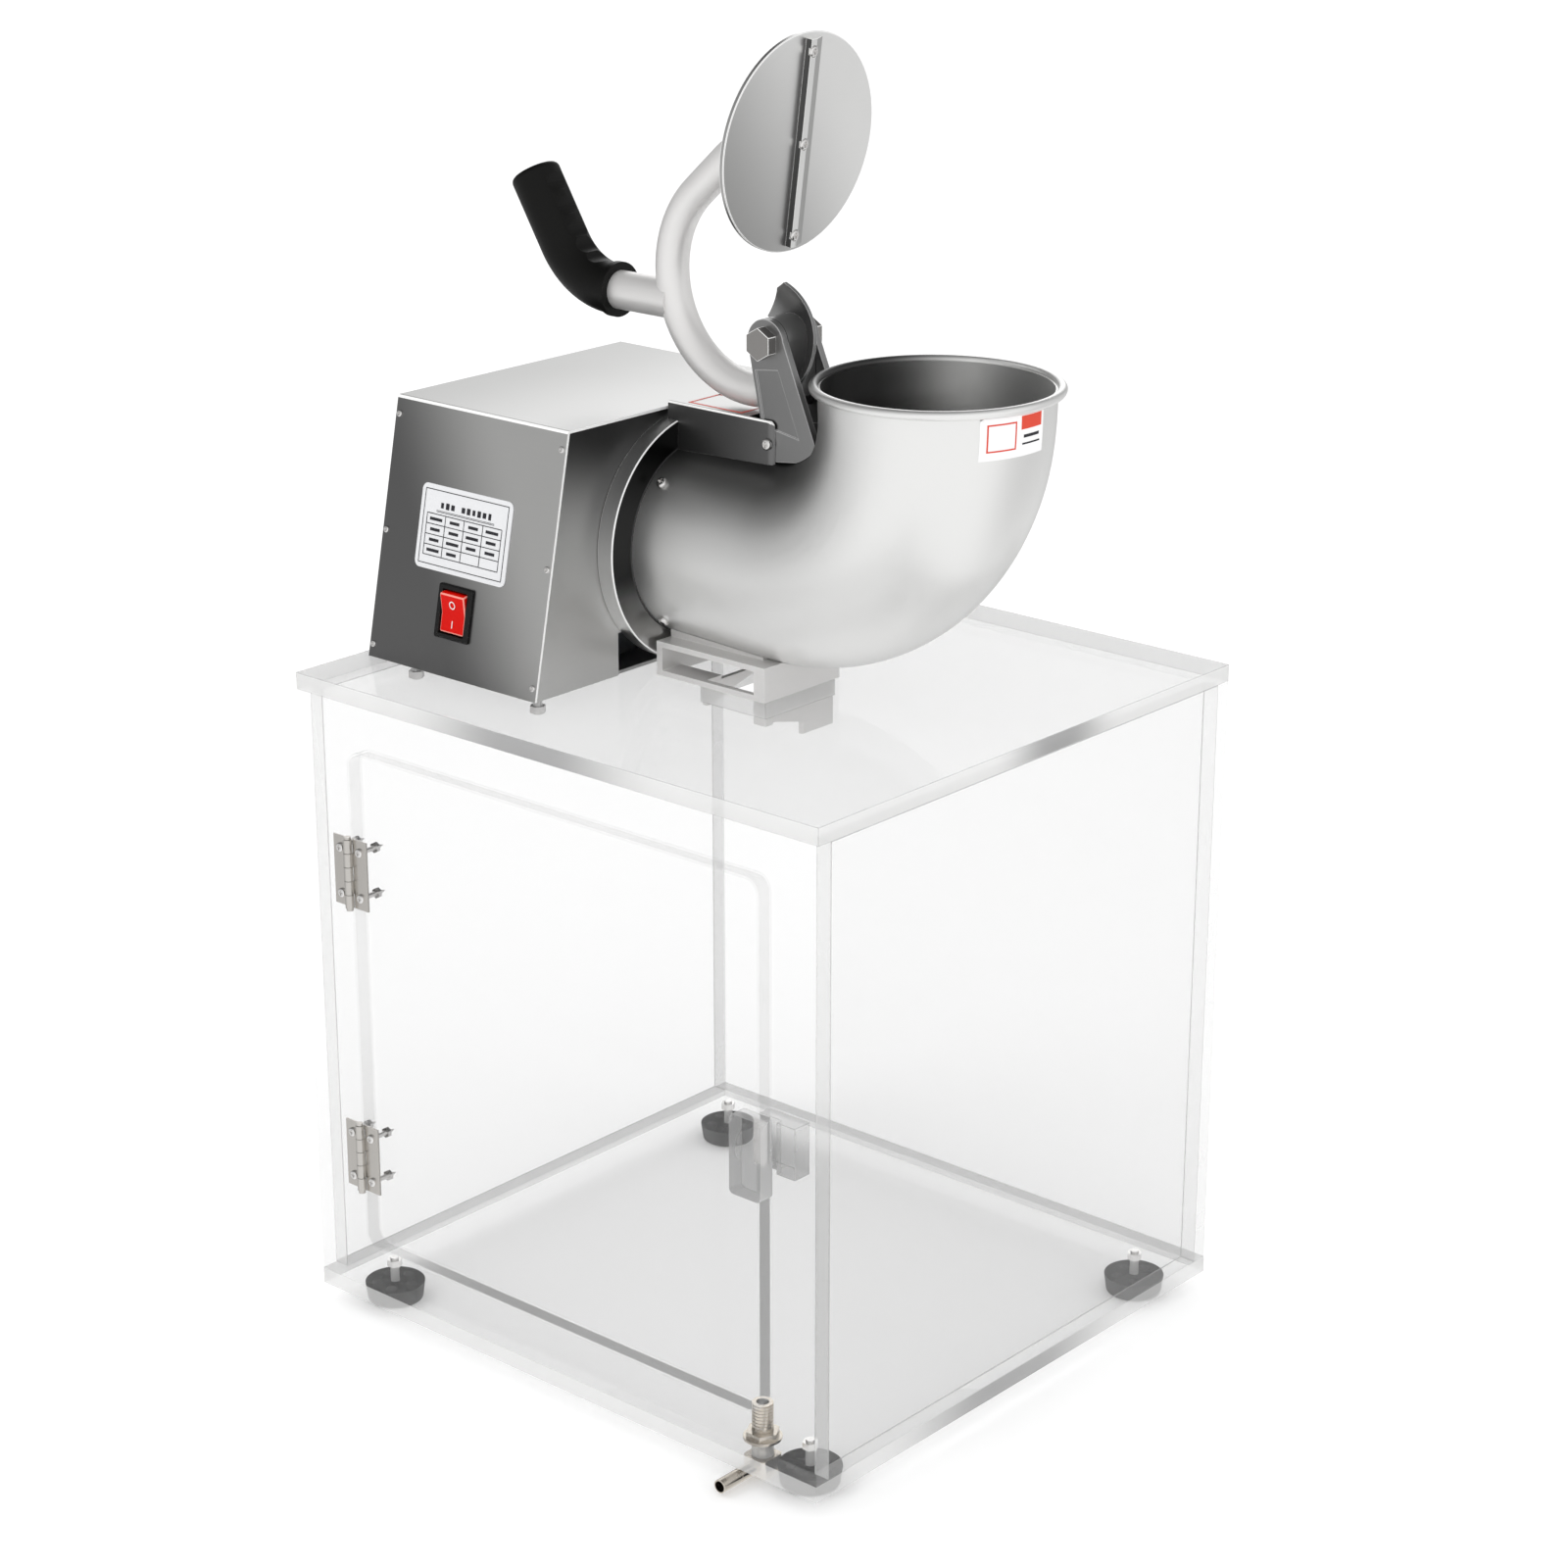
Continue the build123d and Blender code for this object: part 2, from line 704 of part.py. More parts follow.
def motor_front_bell():
    """The front bell has a spigot that passes through the casing wall and centres the drum."""
    spigot = rod("x", spigot_radius, bell_front - 1, bell_front + sheet + spigot_depth, machine_y, axis_z)
    spigot -= rod("x", shaft_radius + 1, bell_front - 2, bell_front + 10, machine_y, axis_z)
    bore = rod("x", bearing_radius, bell_front - bearing_width, bell_front, machine_y, axis_z)
    return drill_drum_bolts(motor_bell(stator_front, bell_front) + spigot - bore)


def motor_rear_bell():
    return motor_bell(stator_back, bell_back)


def motor_bearings():
    rings = []
    for x0 in (bell_back, bell_front - bearing_width):
        ring = rod("x", bearing_radius, x0, x0 + bearing_width, machine_y, axis_z)
        rings.append(ring - rod("x", shaft_radius + running_clearance, x0 - 1, x0 + 20, machine_y, axis_z))
    return group(rings)


def motor_cradle():
    top = axis_z - motor_radius * 0.6
    bottom = bin_top + base_plate_thickness
    cradle = block(stator_back + 6, stator_front - 6, machine_y - 42, machine_y + 42, bottom, top)
    cradle -= rod("x", motor_radius, stator_back - 1, stator_front + 1, machine_y, axis_z)
    window = block(stator_back + 14, stator_front - 14, machine_y - 50, machine_y + 50, bottom + 5, top + 1)
    return cradle - window


def run_capacitor():
    x0 = stator_back + 2
    y = machine_y + casing_base_depth / 2 - 36
    z = bin_top + base_plate_thickness + capacitor_radius
    can = rod("x", capacitor_radius, x0, x0 + capacitor_length, y, z)
    for offset in (-5, 5):
        can += block(x0 - 7, x0, y + offset - 0.5, y + offset + 0.5, z - 3, z + 3)
    return can


def shaft_seal():
    seal = rod("x", seal_radius, flange_front - seal_depth, flange_front - 0.5, machine_y, axis_z)
    bore_radius = shaft_radius + running_clearance
    return seal - rod("x", bore_radius, flange_front - seal_depth - 1, flange_front, machine_y, axis_z)


def motor_shaft():
    return rod("x", shaft_radius, bell_back - 18, disc_front + disc_nut_height + 1, machine_y, axis_z)


def rotor_core():
    core = rod("x", rotor_radius, stator_back + 2, stator_front - 2, machine_y, axis_z)
    return core - rod("x", shaft_radius, stator_back, stator_front, machine_y, axis_z)


def cooling_fan():
    x0 = bell_back - 14
    fan = rod("x", 11, x0, x0 + 10, machine_y, axis_z)
    blade = block(x0, x0 + 9, machine_y - 0.8, machine_y + 0.8, axis_z, axis_z + 40)
    centre = Axis((0, machine_y, axis_z), (1, 0, 0))
    for i in range(6):
        fan += blade.rotate(centre, 60 * i)
    return fan - rod("x", shaft_radius, x0 - 1, x0 + 12, machine_y, axis_z)


# ---- drum and hopper ------------------------------------------------------------------------------------
def hopper_station(s):
    """Centre, direction and outer radius at a distance along the hopper's centre line."""
    bend = hopper_bend_radius * math.pi / 2
    share = min(max(s / hopper_length, 0), 1)
    radius = hopper_start_radius + (hopper_mouth_radius - hopper_start_radius) * share
    if s <= hopper_straight:
        return (flange_front + s, machine_y, axis_z), (1, 0, 0), radius
    if s <= hopper_straight + bend:
        turn = (s - hopper_straight) / hopper_bend_radius
        x = bend_start_x + hopper_bend_radius * math.sin(turn)
        z = axis_z + hopper_bend_radius * (1 - math.cos(turn))
        return (x, machine_y, z), (math.cos(turn), 0, math.sin(turn)), radius
    z = axis_z + hopper_bend_radius + s - hopper_straight - bend
    return (mouth_x, machine_y, z), (0, 0, 1), radius


def hopper_solid(extra, ends):
    """The hopper's filled form with its radius changed by extra and both ends run on."""
    start_radius = hopper_station(0)[2] + extra
    bend_start_radius = hopper_station(hopper_straight)[2] + extra
    x0 = flange_front - ends
    straight = Pos((x0 + bend_start_x) / 2, machine_y, axis_z) * Rot(0, 90, 0)
    straight *= Cone(start_radius, bend_start_radius, bend_start_x - x0)
    bend = hopper_bend_radius * math.pi / 2
    stations = [hopper_straight + bend * i / 8 for i in range(9)] + [hopper_length + ends]
    sections = []
    for s in stations:
        centre, direction, radius = hopper_station(s)
        sections.append(Plane(origin=centre, x_dir=(0, 1, 0), z_dir=direction) * Circle(radius + extra))
    return straight + loft(sections)


def discharge_window():
    """The way down from the drum into the chute."""
    return block(
        chute_left + chute_wall,
        disc_back - chute_wall,
        machine_y - window_front,
        machine_y + window_back,
        bin_top - 5,
        axis_z - 20,
    )


def elbow_hopper(outer):
    shell = outer - hopper_solid(-hopper_wall, 2)
    ring = Pos(mouth_x, machine_y, mouth_z) * Torus(hopper_mouth_radius + lip_radius - 0.6, lip_radius)
    inner = rod("z", hopper_mouth_radius - hopper_wall, mouth_z - 8, mouth_z + 8, mouth_x, machine_y)
    shell += ring - inner
    for place, direction in drum_screw_places():
        shell -= at(place, direction, Cylinder(housing_screw_radius + 0.2, 12))
    return shell - discharge_window()


def drum_screw_places():
    """Where the hopper is screwed to the drum's sleeve, near its start."""
    places = []
    for turn in (45, 135, 225, 315):
        t = math.radians(turn)
        y = math.cos(t)
        z = math.sin(t)
        radius = hopper_start_radius + 0.5
        places.append(((flange_front + 9, machine_y + radius * y, axis_z + radius * z), (0, y, z)))
    return places


def drum_housing():
    drum = rod("x", flange_radius, flange_back, flange_front, machine_y, axis_z)
    rims = drum.edges().filter_by(GeomType.CIRCLE)
    drum = fillet(rims, 1.0)
    drum += rod("x", sleeve_radius, flange_front - 1, disc_front + 2, machine_y, axis_z)
    drum -= rod("x", sleeve_radius - sleeve_wall, flange_front, disc_front + 3, machine_y, axis_z)
    drum -= rod("x", seal_radius, flange_front - seal_depth, flange_front + 1, machine_y, axis_z)
    drum -= rod("x", shaft_radius + 1, flange_back - 1, flange_front, machine_y, axis_z)
    spigot_end = flange_back + spigot_depth + 0.2
    drum -= rod("x", spigot_radius + 0.05, flange_back - 1, spigot_end, machine_y, axis_z)
    for place, direction in drum_screw_places():
        drum -= at(place, direction, Cylinder(housing_screw_radius, 14))
    return drill_drum_bolts(drum) - discharge_window()


def drum_bolt_places():
    places = []
    for turn in (45, 135, 225, 315):
        t = math.radians(turn)
        places.append((machine_y + drum_bolt_circle * math.cos(t), axis_z + drum_bolt_circle * math.sin(t)))
    return places


def drill_drum_bolts(part):
    for y, z in drum_bolt_places():
        part -= rod("x", drum_bolt_radius + 0.05, flange_back - 30, flange_front + 1, y, z)
    return part


def drum_bolts():
    shapes = []
    for y, z in drum_bolt_places():
        bolt = hex_prism(10.0, 4.0) + Pos(0, 0, -11) * Cylinder(drum_bolt_radius, 22)
        shapes.append(at((flange_front, y, z), (1, 0, 0), bolt))
    return group(shapes)


def saddle_screw_place():
    return saddle_right - 6, saddle_top - 13


def housing_screws():
    """The screws that hold the hopper on the drum and the saddle cover on the fork."""
    screw = pan_screw(housing_screw_radius, 5.0, 3.3, 2.2)
    shapes = [at(place, direction, screw) for place, direction in drum_screw_places()]
    x, z = saddle_screw_place()
    for side in (-1, 1):
        place = (x, machine_y + side * saddle_half, z)
        shapes.append(at(place, (0, side, 0), screw))
    return group(shapes)


def drill_saddle_screws(part):
    x, z = saddle_screw_place()
    return part - rod("y", housing_screw_radius + 0.1, machine_y - 40, machine_y + 40, x, z)


def blade_disc():
    disc = rod("x", disc_radius, disc_back, disc_front, machine_y, axis_z)
    disc += rod("x", 12, disc_back - 8, disc_back + 1, machine_y, axis_z)
    disc -= rod("x", shaft_radius, disc_back - 9, disc_front + 1, machine_y, axis_z)
    centre = Axis((0, machine_y, axis_z), (1, 0, 0))
    slot = block(disc_back - 1, disc_front + 1, machine_y + 3, machine_y + 8, axis_z + 16, axis_z + 42)
    for i in range(2):
        disc -= slot.rotate(centre, 180 * i)
    return disc


def shaving_blades():
    centre = Axis((0, machine_y, axis_z), (1, 0, 0))
    blade = block(disc_front, disc_front + 2.5, machine_y - 9, machine_y + 4.5, axis_z + 16, axis_z + 42)
    cutting_edge = blade.edges().filter_by(Axis.Z).group_by(Axis.Y)[-1].sort_by(Axis.X)[-1]
    blade = chamfer(cutting_edge, 1.8)
    return group([blade.rotate(centre, 180 * i) for i in range(2)])


def disc_nut():
    """A domed nut that closes the end of the shaft."""
    nut = at((disc_front, machine_y, axis_z), (1, 0, 0), hex_prism(disc_nut_flats, disc_nut_height))
    cap_start = disc_front + disc_nut_height
    nut += rod("x", disc_nut_cap_radius, cap_start, cap_start + 5, machine_y, axis_z)
    return nut - rod("x", shaft_radius, disc_front - 1, cap_start + 1, machine_y, axis_z)


# ---- saddle cover and fork --------------------------------------------------------------------------------
def saddle_cover(hopper_clear):
    cover = block(
        saddle_left, saddle_right, machine_y - saddle_half, machine_y + saddle_half, axis_z + 20, saddle_top
    )
    cover = fillet(cover.edges().filter_by(Axis.X).sort_by(Axis.Z)[-2:], 1.5)
    corner = cover.edges().filter_by(Axis.Y).sort_by(Axis.Z)[-2:].sort_by(Axis.X)[-1]
    cover = fillet(corner, 6.0)
    inside = saddle_half - saddle_sheet
    cover -= block(
        saddle_left + saddle_sheet,
        saddle_right + 1,
        machine_y - inside,
        machine_y + inside,
        axis_z,
        saddle_top - saddle_sheet,
    )
    cover -= block(
        pivot_x - 12, saddle_right + 1, machine_y - inside, machine_y + inside, saddle_top - 3, saddle_top + 1
    )
    cover -= rod("x", flange_radius + 0.1, saddle_left - 5, flange_front + 0.1, machine_y, axis_z)
    cover -= hopper_clear
    return drill_saddle_screws(cover)


def fork_arm(y0, y1):
    """One fork arm: a round head on the pivot and a stem that leans towards the hopper's neck."""
    points = [(-arm_radius, 0), (-3, -45), (2, -66), (33, -62), (36, -52), (arm_radius - 0.6, 3)]
    head = rod("y", arm_radius, y0, y1, pivot_x, pivot_z)
    return head + prism_y(points, y0, y1, pivot_x, pivot_z)


def fork_bracket(hopper_clear):
    inner = fork_gap / 2
    outer = inner + arm_thickness
    bracket = fork_arm(machine_y - outer, machine_y - inner) + fork_arm(machine_y + inner, machine_y + outer)
    bridge = block(pivot_x + 2, pivot_x + 34, -inner - 0.1, inner + 0.1, pivot_z - 72, pivot_z - 47)
    bracket += Pos(0, machine_y, 0) * bridge
    panel = [(-7, -16), (-1, -46), (24, -50), (9, -14)]
    bracket -= prism_y(panel, machine_y - outer - 1, machine_y - outer + 1, pivot_x, pivot_z)
    bracket -= prism_y(panel, machine_y + outer - 1, machine_y + outer + 1, pivot_x, pivot_z)
    reach = outer + 1
    bore = rod("y", pivot_radius + running_clearance, machine_y - reach, machine_y + reach, pivot_x, pivot_z)
    return drill_saddle_screws(bracket) - bore - hopper_clear


def pivot_bolt():
    reach = fork_gap / 2 + arm_thickness
    near = machine_y - reach
    far = machine_y + reach
    bolt = rod("y", pivot_radius, near, far + 10, pivot_x, pivot_z)
    head = at((pivot_x, near, pivot_z), (0, -1, 0), hex_prism(16.0, 6.4))
    nut = at((pivot_x, far, pivot_z), (0, 1, 0), hex_prism(16.0, 8.0))
    nut -= rod("y", pivot_radius, far - 1, far + 12, pivot_x, pivot_z)
    return group([bolt + head, nut])


# ---- chute ----------------------------------------------------------------------------------------
def chute_frame(hopper_clear):
    width, depth, height = chute_size
    frame = block(chute_left, chute_right, chute_front, chute_back, bin_top, bin_top + height)
    frame -= block(
        chute_left + chute_wall,
        chute_right - 2 * chute_wall,
        chute_front - 1,
        chute_back - chute_wall,
        bin_top + chute_rail,
        bin_top + height - chute_rail,
    )
    frame -= block(
        spout_left + chute_wall,
        chute_right - 2 * chute_wall,
        chute_front + chute_wall,
        chute_back - chute_wall,
        bin_top - 1,
        bin_top + height - chute_rail,
    )
    frame += block(
        chute_left,
        disc_back,
        machine_y - window_front - chute_wall,
        machine_y + window_back + chute_wall,
        bin_top + height - chute_rail,
        bin_top + height + 10,
    )
    frame -= discharge_window()
    frame -= hopper_clear
    return frame + spout_walls()


def spout_walls():
    """The legs and walls that hang from the frame through the opening in the bin's top."""
    y0 = chute_front + 3.5
    y1 = chute_back - 3.0
    x1 = chute_right - 2.2
    profile = [(y0, 1), (y1, 1), (y1, -26), (y0 + 8, -14), (y0, -14)]
    wall = prism_x(profile, x1 - spout_sheet, x1, 0, bin_top)
    leg = block(x1 - 9, x1, y0, y0 + 6, bin_top - 15, bin_top + 1)
    left = [(y0, 1), (y1 - 8, 1), (y1 - 30, -5), (y0 + 5, -12), (y0, -12)]
    left_wall = prism_x(left, spout_left + 0.8, spout_left + 0.8 + spout_sheet, 0, bin_top)
    toe = block(x1 - spout_sheet, x1, y1 - 26, y1, bin_top - 27, bin_top - 18)
    return wall + leg + left_wall + toe


# ---- lever ----------------------------------------------------------------------------------------
def turned(x, z, degrees):
    """A point in X and Z turned about +Y by an angle in degrees."""
    t = math.radians(degrees)
    return x * math.cos(t) + z * math.sin(t), -x * math.sin(t) + z * math.cos(t)


plate_centre = turned(mouth_x - pivot_x, mouth_z - pivot_z + plate_over_mouth, -swing_to_mouth)
plate_normal = turned(0, -1, -swing_to_mouth)


def lever_plane(x, z, direction):
    """A plane in the lever's own XZ frame about the pivot, facing along a direction in X and Z."""
    return Plane(
        origin=(pivot_x + x, machine_y, pivot_z + z), x_dir=(0, 1, 0), z_dir=(direction[0], 0, direction[1])
    )


def bow_path():
    """The centre line of the bow: a long arc round the back, a short straight and an arc to the plate."""
    normal_angle = math.degrees(math.atan2(plate_normal[1], plate_normal[0]))
    end_angle = 90 + normal_angle
    back_x = plate_centre[0] - plate_normal[0] * press_plate_thickness
    back_z = plate_centre[1] - plate_normal[1] * press_plate_thickness
    upper_x = back_x - bow_radius * math.cos(math.radians(end_angle))
    upper_z = back_z - bow_radius * math.sin(math.radians(end_angle))
    heading = math.degrees(math.atan2(upper_z - bow_centre[1], upper_x - bow_centre[0]))
    turn_at = 90 + heading
    start = -90 + bow_end_turn
    with BuildLine(Plane.XZ) as path:
        lower = CenterArc(
            (pivot_x + bow_centre[0], pivot_z + bow_centre[1]), bow_radius, turn_at, 360 + start - turn_at
        )
        upper = CenterArc((pivot_x + upper_x, pivot_z + upper_z), bow_radius, end_angle, turn_at - end_angle)
        Line(upper @ 1, lower @ 0)
    return Pos(0, machine_y, 0) * path.line


def bow_tube():
    path = bow_path()
    back = lever_plane(
        plate_centre[0] - plate_normal[0] * press_plate_thickness,
        plate_centre[1] - plate_normal[1] * press_plate_thickness,
        plate_normal,
    )
    outer = sweep(back * Circle(bow_tube_radius), path)
    return outer, outer - sweep(back * Circle(bow_tube_radius - bow_tube_wall), path)


def handle_path(skipped, end_run):
    """The handle's centre line, level to the left and then turning up."""
    x = bow_centre[0] - math.sqrt(bow_radius**2 - handle_drop**2)
    z = bow_centre[1] - handle_drop
    bend_x = x - handle_run
    turn = math.radians(handle_bend_turn)
    end_x = bend_x - handle_bend_radius * math.sin(turn)
    end_z = z + handle_bend_radius * (1 - math.cos(turn))
    with BuildLine(Plane.XZ) as path:
        Line((pivot_x + x - skipped, pivot_z + z), (pivot_x + bend_x, pivot_z + z))
        CenterArc(
            (pivot_x + bend_x, pivot_z + z + handle_bend_radius), handle_bend_radius, -90, -handle_bend_turn
        )
        Line(
            (pivot_x + end_x, pivot_z + end_z),
            (pivot_x + end_x - end_run * math.cos(turn), pivot_z + end_z + end_run * math.sin(turn)),
        )
    return Pos(0, machine_y, 0) * path.line, (x - skipped, z)


def handle_tube(bow_outer):
    path, (x, z) = handle_path(0, handle_end_run)
    start = lever_plane(x, z, (-1, 0))
    tube = sweep(start * Circle(handle_tube_radius), path)
    tube -= sweep(start * Circle(handle_tube_radius - handle_tube_wall), path)
    tube -= bow_outer
    return tube.solids().sort_by(SortBy.VOLUME)[-1]


def grip():
    """A rubber sleeve on the handle with five finger hollows, a collar at its mouth and a round end."""
    inner_radius = handle_tube_radius + grip_fit
    path, (x, z) = handle_path(handle_run - grip_lap, handle_end_run + grip_end)
    mouth = lever_plane(x, z, (-1, 0))
    sleeve = sweep(mouth * Circle(inner_radius + grip_wall), path)
    end_face = sleeve.faces().sort_by_distance(path @ 1)[0]
    sleeve = fillet(end_face.edges(), grip_wall)
    sleeve += mouth * extrude(Circle(inner_radius + grip_wall + 1.2), 4)
    for i in range(5):
        share = 0.24 + 0.155 * i
        heading = path % share
        inward = Vector(-heading.Z, 0, heading.X)
        if inward.X < 0:
            inward = inward * -1
        centre = (path @ share) + inward * (inner_radius + grip_wall + finger_radius - finger_depth)
        sleeve -= at(centre, (0, 1, 0), Cylinder(finger_radius, 60))
    bore_path, (bore_x, bore_z) = handle_path(handle_run - grip_lap - 2, handle_end_run + 0.3)
    return sleeve - sweep(lever_plane(bore_x, bore_z, (-1, 0)) * Circle(inner_radius), bore_path)


def plate_front():
    return lever_plane(plate_centre[0], plate_centre[1], plate_normal)


def rib_screw_spots():
    """Three screws along the rib, on the plate's upright line."""
    return [(0.0, s * rib_screw_pitch) for s in (-1, 0, 1)]


def press_plate():
    disc = Pos(0, 0, -press_plate_thickness / 2) * Cylinder(press_plate_radius, press_plate_thickness)
    disc = chamfer(disc.edges(), 0.4)
    for x, y in rib_screw_spots():
        disc -= Pos(x, y, 0) * Cylinder(plate_screw_radius + 0.1, 4 * press_plate_thickness)
    return plate_front() * disc


def plate_rib():
    """A bar across the plate: an upright edge, a narrow top and a long slope that break up clinging ice."""
    length = 2 * math.sqrt(press_plate_radius**2 - rib_width**2) - 4
    left = -rib_screw_inset
    right = left + rib_width
    profile = [(left, 0), (right, 0), (right, 0.4), (left + rib_top_width, rib_height), (left, rib_height)]
    rib = prism_y(profile, -length / 2, length / 2)
    for x, y in rib_screw_spots():
        rib -= Pos(x, y, rib_seat + rib_height / 2) * Cylinder(plate_screw_head + 0.3, rib_height)
        rib -= Pos(x, y, 0) * Cylinder(plate_screw_radius + 0.1, 4 * rib_height)
    return plate_front() * rib


def plate_screws():
    """The two outer screws reach through the plate; the middle one ends flush with the bow's end."""
    flush = press_plate_thickness + rib_seat
    shapes = []
    for x, y in rib_screw_spots():
        length = flush if y == 0 else flush + 2
        screw = pan_screw(plate_screw_radius, length, plate_screw_head, 2.0)
        shapes.append(plate_front() * Pos(x, y, rib_seat) * screw)
    return group(shapes)


def lever_hub(bow_outer):
    """The boss on the pivot and the cheek that carries the bow's lower end."""
    boss = rod("y", arm_radius, machine_y - hub_width / 2, machine_y + hub_width / 2, pivot_x, pivot_z)
    points = [(-arm_radius, 0), (-10, -34), (-4, -40), (9, -40), (15, -30), (arm_radius, 0)]
    cheek = prism_y(points, machine_y - hub_width / 2, machine_y + hub_width / 2, pivot_x, pivot_z)
    reach = rod("y", hub_reach, machine_y - 30, machine_y + 30, pivot_x, pivot_z)
    hub = boss + (cheek & reach)
    hub -= bow_outer
    hub -= rod("y", pivot_radius + running_clearance, machine_y - 30, machine_y + 30, pivot_x, pivot_z)
    return hub.solids().sort_by(SortBy.VOLUME)[-1]


def hub_guard(hub, bow_outer):
    """A dished leaf on the hub's far side that keeps fingers out of the fork."""
    points = [(-17, 9), (-6, 27), (17, 40), (40, 20), (40, -30), (4, -30), (-4, 2)]
    outline = prism_y(points, machine_y - 30, machine_y + 30, pivot_x, pivot_z)
    disc = rod("y", guard_radius, machine_y - 30, machine_y + 30, pivot_x - 14, pivot_z - 2)
    far_side = machine_y + hub_width / 2
    middle = (pivot_x - 4, far_side - guard_dish, pivot_z + 4)
    shell = Pos(*middle) * (Sphere(guard_dish) - Sphere(guard_dish - guard_sheet))
    back_half = Pos(pivot_x, machine_y, pivot_z) * Box(160, hub_width, 160)
    leaf = shell & back_half & (outline & disc)
    leaf = leaf - hub - bow_outer
    leaf -= rod("y", pivot_radius + 1.0, machine_y - 30, machine_y + 30, pivot_x, pivot_z)
    return leaf.solids().sort_by(SortBy.VOLUME)[-1]


# ---- writing the parts ----------------------------------------------------------------------------------
def machine_nodes():
    hopper_outer = hopper_solid(0, 0)
    hopper_clear = hopper_solid(0.15, 3)
    bow_outer, bow = bow_tube()
    hub = lever_hub(bow_outer)
    return {
        "floor_panel": floor_panel(),
        "top_panel": top_panel(),
        "back_panel": back_panel(),
        "left_panel": side_panel(-1),
        "right_panel": side_panel(1),
        "front_frame": front_frame(),
        "rubber_feet": rubber_feet(),
        "foot_fasteners": foot_fasteners(),
        "drain_fitting": drain_fitting(),
        "drain_nut": drain_nut(),
        "drain_pipe": drain_pipe(),
        "hinge_frame_leaves": hinge_leaves(-1),
        "hinge_pins": hinge_pins(),
        "hinge_frame_fasteners": hinge_fasteners(-1),
        "catch_magnet": catch_magnet(),
        "door_panel": door_panel(),
        "hinge_door_leaves": hinge_leaves(1),
        "hinge_door_fasteners": hinge_fasteners(1),
        "door_handle": door_handle(),
        "catch_strike": catch_strike(),
        "casing_cover": drill_casing_screws(casing_cover()),
        "casing_right_wall": drill_casing_screws(casing_right_wall()),
        "casing_left_wall": drill_casing_screws(casing_left_wall()),
        "casing_screws": casing_screws(),
        "base_plate": base_plate(),
        "hold_down_fasteners": hold_down_fasteners(),
        "rating_plate": rating_plate(),
        "switch_bezel": switch_bezel(),
        "rocker": rocker(),
        "cord_gland": cord_gland(),
        "motor_stator": motor_stator(),
        "motor_front_bell": motor_front_bell(),
        "motor_rear_bell": motor_rear_bell(),
        "motor_bearings": motor_bearings(),
        "motor_cradle": motor_cradle(),
        "run_capacitor": run_capacitor(),
        "shaft_seal": shaft_seal(),
        "motor_shaft": motor_shaft(),
        "rotor_core": rotor_core(),
        "cooling_fan": cooling_fan(),
        "blade_disc": blade_disc(),
        "shaving_blades": shaving_blades(),
        "disc_nut": disc_nut(),
        "drum_housing": drum_housing(),
        "drum_bolts": drum_bolts(),
        "elbow_hopper": elbow_hopper(hopper_outer),
        "housing_screws": housing_screws(),
        "saddle_cover": saddle_cover(hopper_clear),
        "fork_bracket": fork_bracket(hopper_clear),
        "pivot_bolt": pivot_bolt(),
        "chute_frame": chute_frame(hopper_clear),
        "bow_tube": bow,
        "handle_tube": handle_tube(bow_outer),
        "grip": grip(),
        "press_plate": press_plate(),
        "plate_rib": plate_rib(),
        "plate_screws": plate_screws(),
        "lever_hub": hub,
        "hub_guard": hub_guard(hub, bow_outer),
    }


os.makedirs("parts", exist_ok=True)
for node, shape in machine_nodes().items():
    export_step(shape, f"parts/{node}.step")
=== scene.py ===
import json
import math

import bpy
from mathutils import Matrix, Vector

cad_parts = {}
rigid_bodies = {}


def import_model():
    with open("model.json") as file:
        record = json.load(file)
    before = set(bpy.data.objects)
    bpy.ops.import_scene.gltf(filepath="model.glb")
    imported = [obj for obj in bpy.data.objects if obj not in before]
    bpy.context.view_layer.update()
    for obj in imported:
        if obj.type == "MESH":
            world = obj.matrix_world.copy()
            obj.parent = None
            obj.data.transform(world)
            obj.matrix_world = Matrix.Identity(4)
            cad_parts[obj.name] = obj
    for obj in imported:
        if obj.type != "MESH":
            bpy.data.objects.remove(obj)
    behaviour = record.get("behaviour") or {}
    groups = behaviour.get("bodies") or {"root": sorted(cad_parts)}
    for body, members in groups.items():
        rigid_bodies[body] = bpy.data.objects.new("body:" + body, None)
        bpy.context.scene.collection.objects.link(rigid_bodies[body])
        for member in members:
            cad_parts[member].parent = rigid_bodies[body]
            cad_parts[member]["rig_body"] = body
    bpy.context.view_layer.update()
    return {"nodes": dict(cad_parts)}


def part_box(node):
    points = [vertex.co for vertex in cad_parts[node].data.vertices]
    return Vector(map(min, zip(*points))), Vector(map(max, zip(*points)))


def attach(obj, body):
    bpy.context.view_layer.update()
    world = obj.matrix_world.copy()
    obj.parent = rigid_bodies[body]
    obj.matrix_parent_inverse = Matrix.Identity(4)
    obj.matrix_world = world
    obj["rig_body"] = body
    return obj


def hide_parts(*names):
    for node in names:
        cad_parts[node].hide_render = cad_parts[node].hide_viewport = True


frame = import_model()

# shaved ice machine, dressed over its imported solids; metres, +Z up, door to -Y
nodes = frame["nodes"]
scene = bpy.context.scene
print("loaded", len(nodes), "nodes")


# camera, room and light
view = {"target": (0.008, 0.008, 0.326), "turn": 41.13, "rise": 19.43, "away": 2.066, "lens": 82.5}

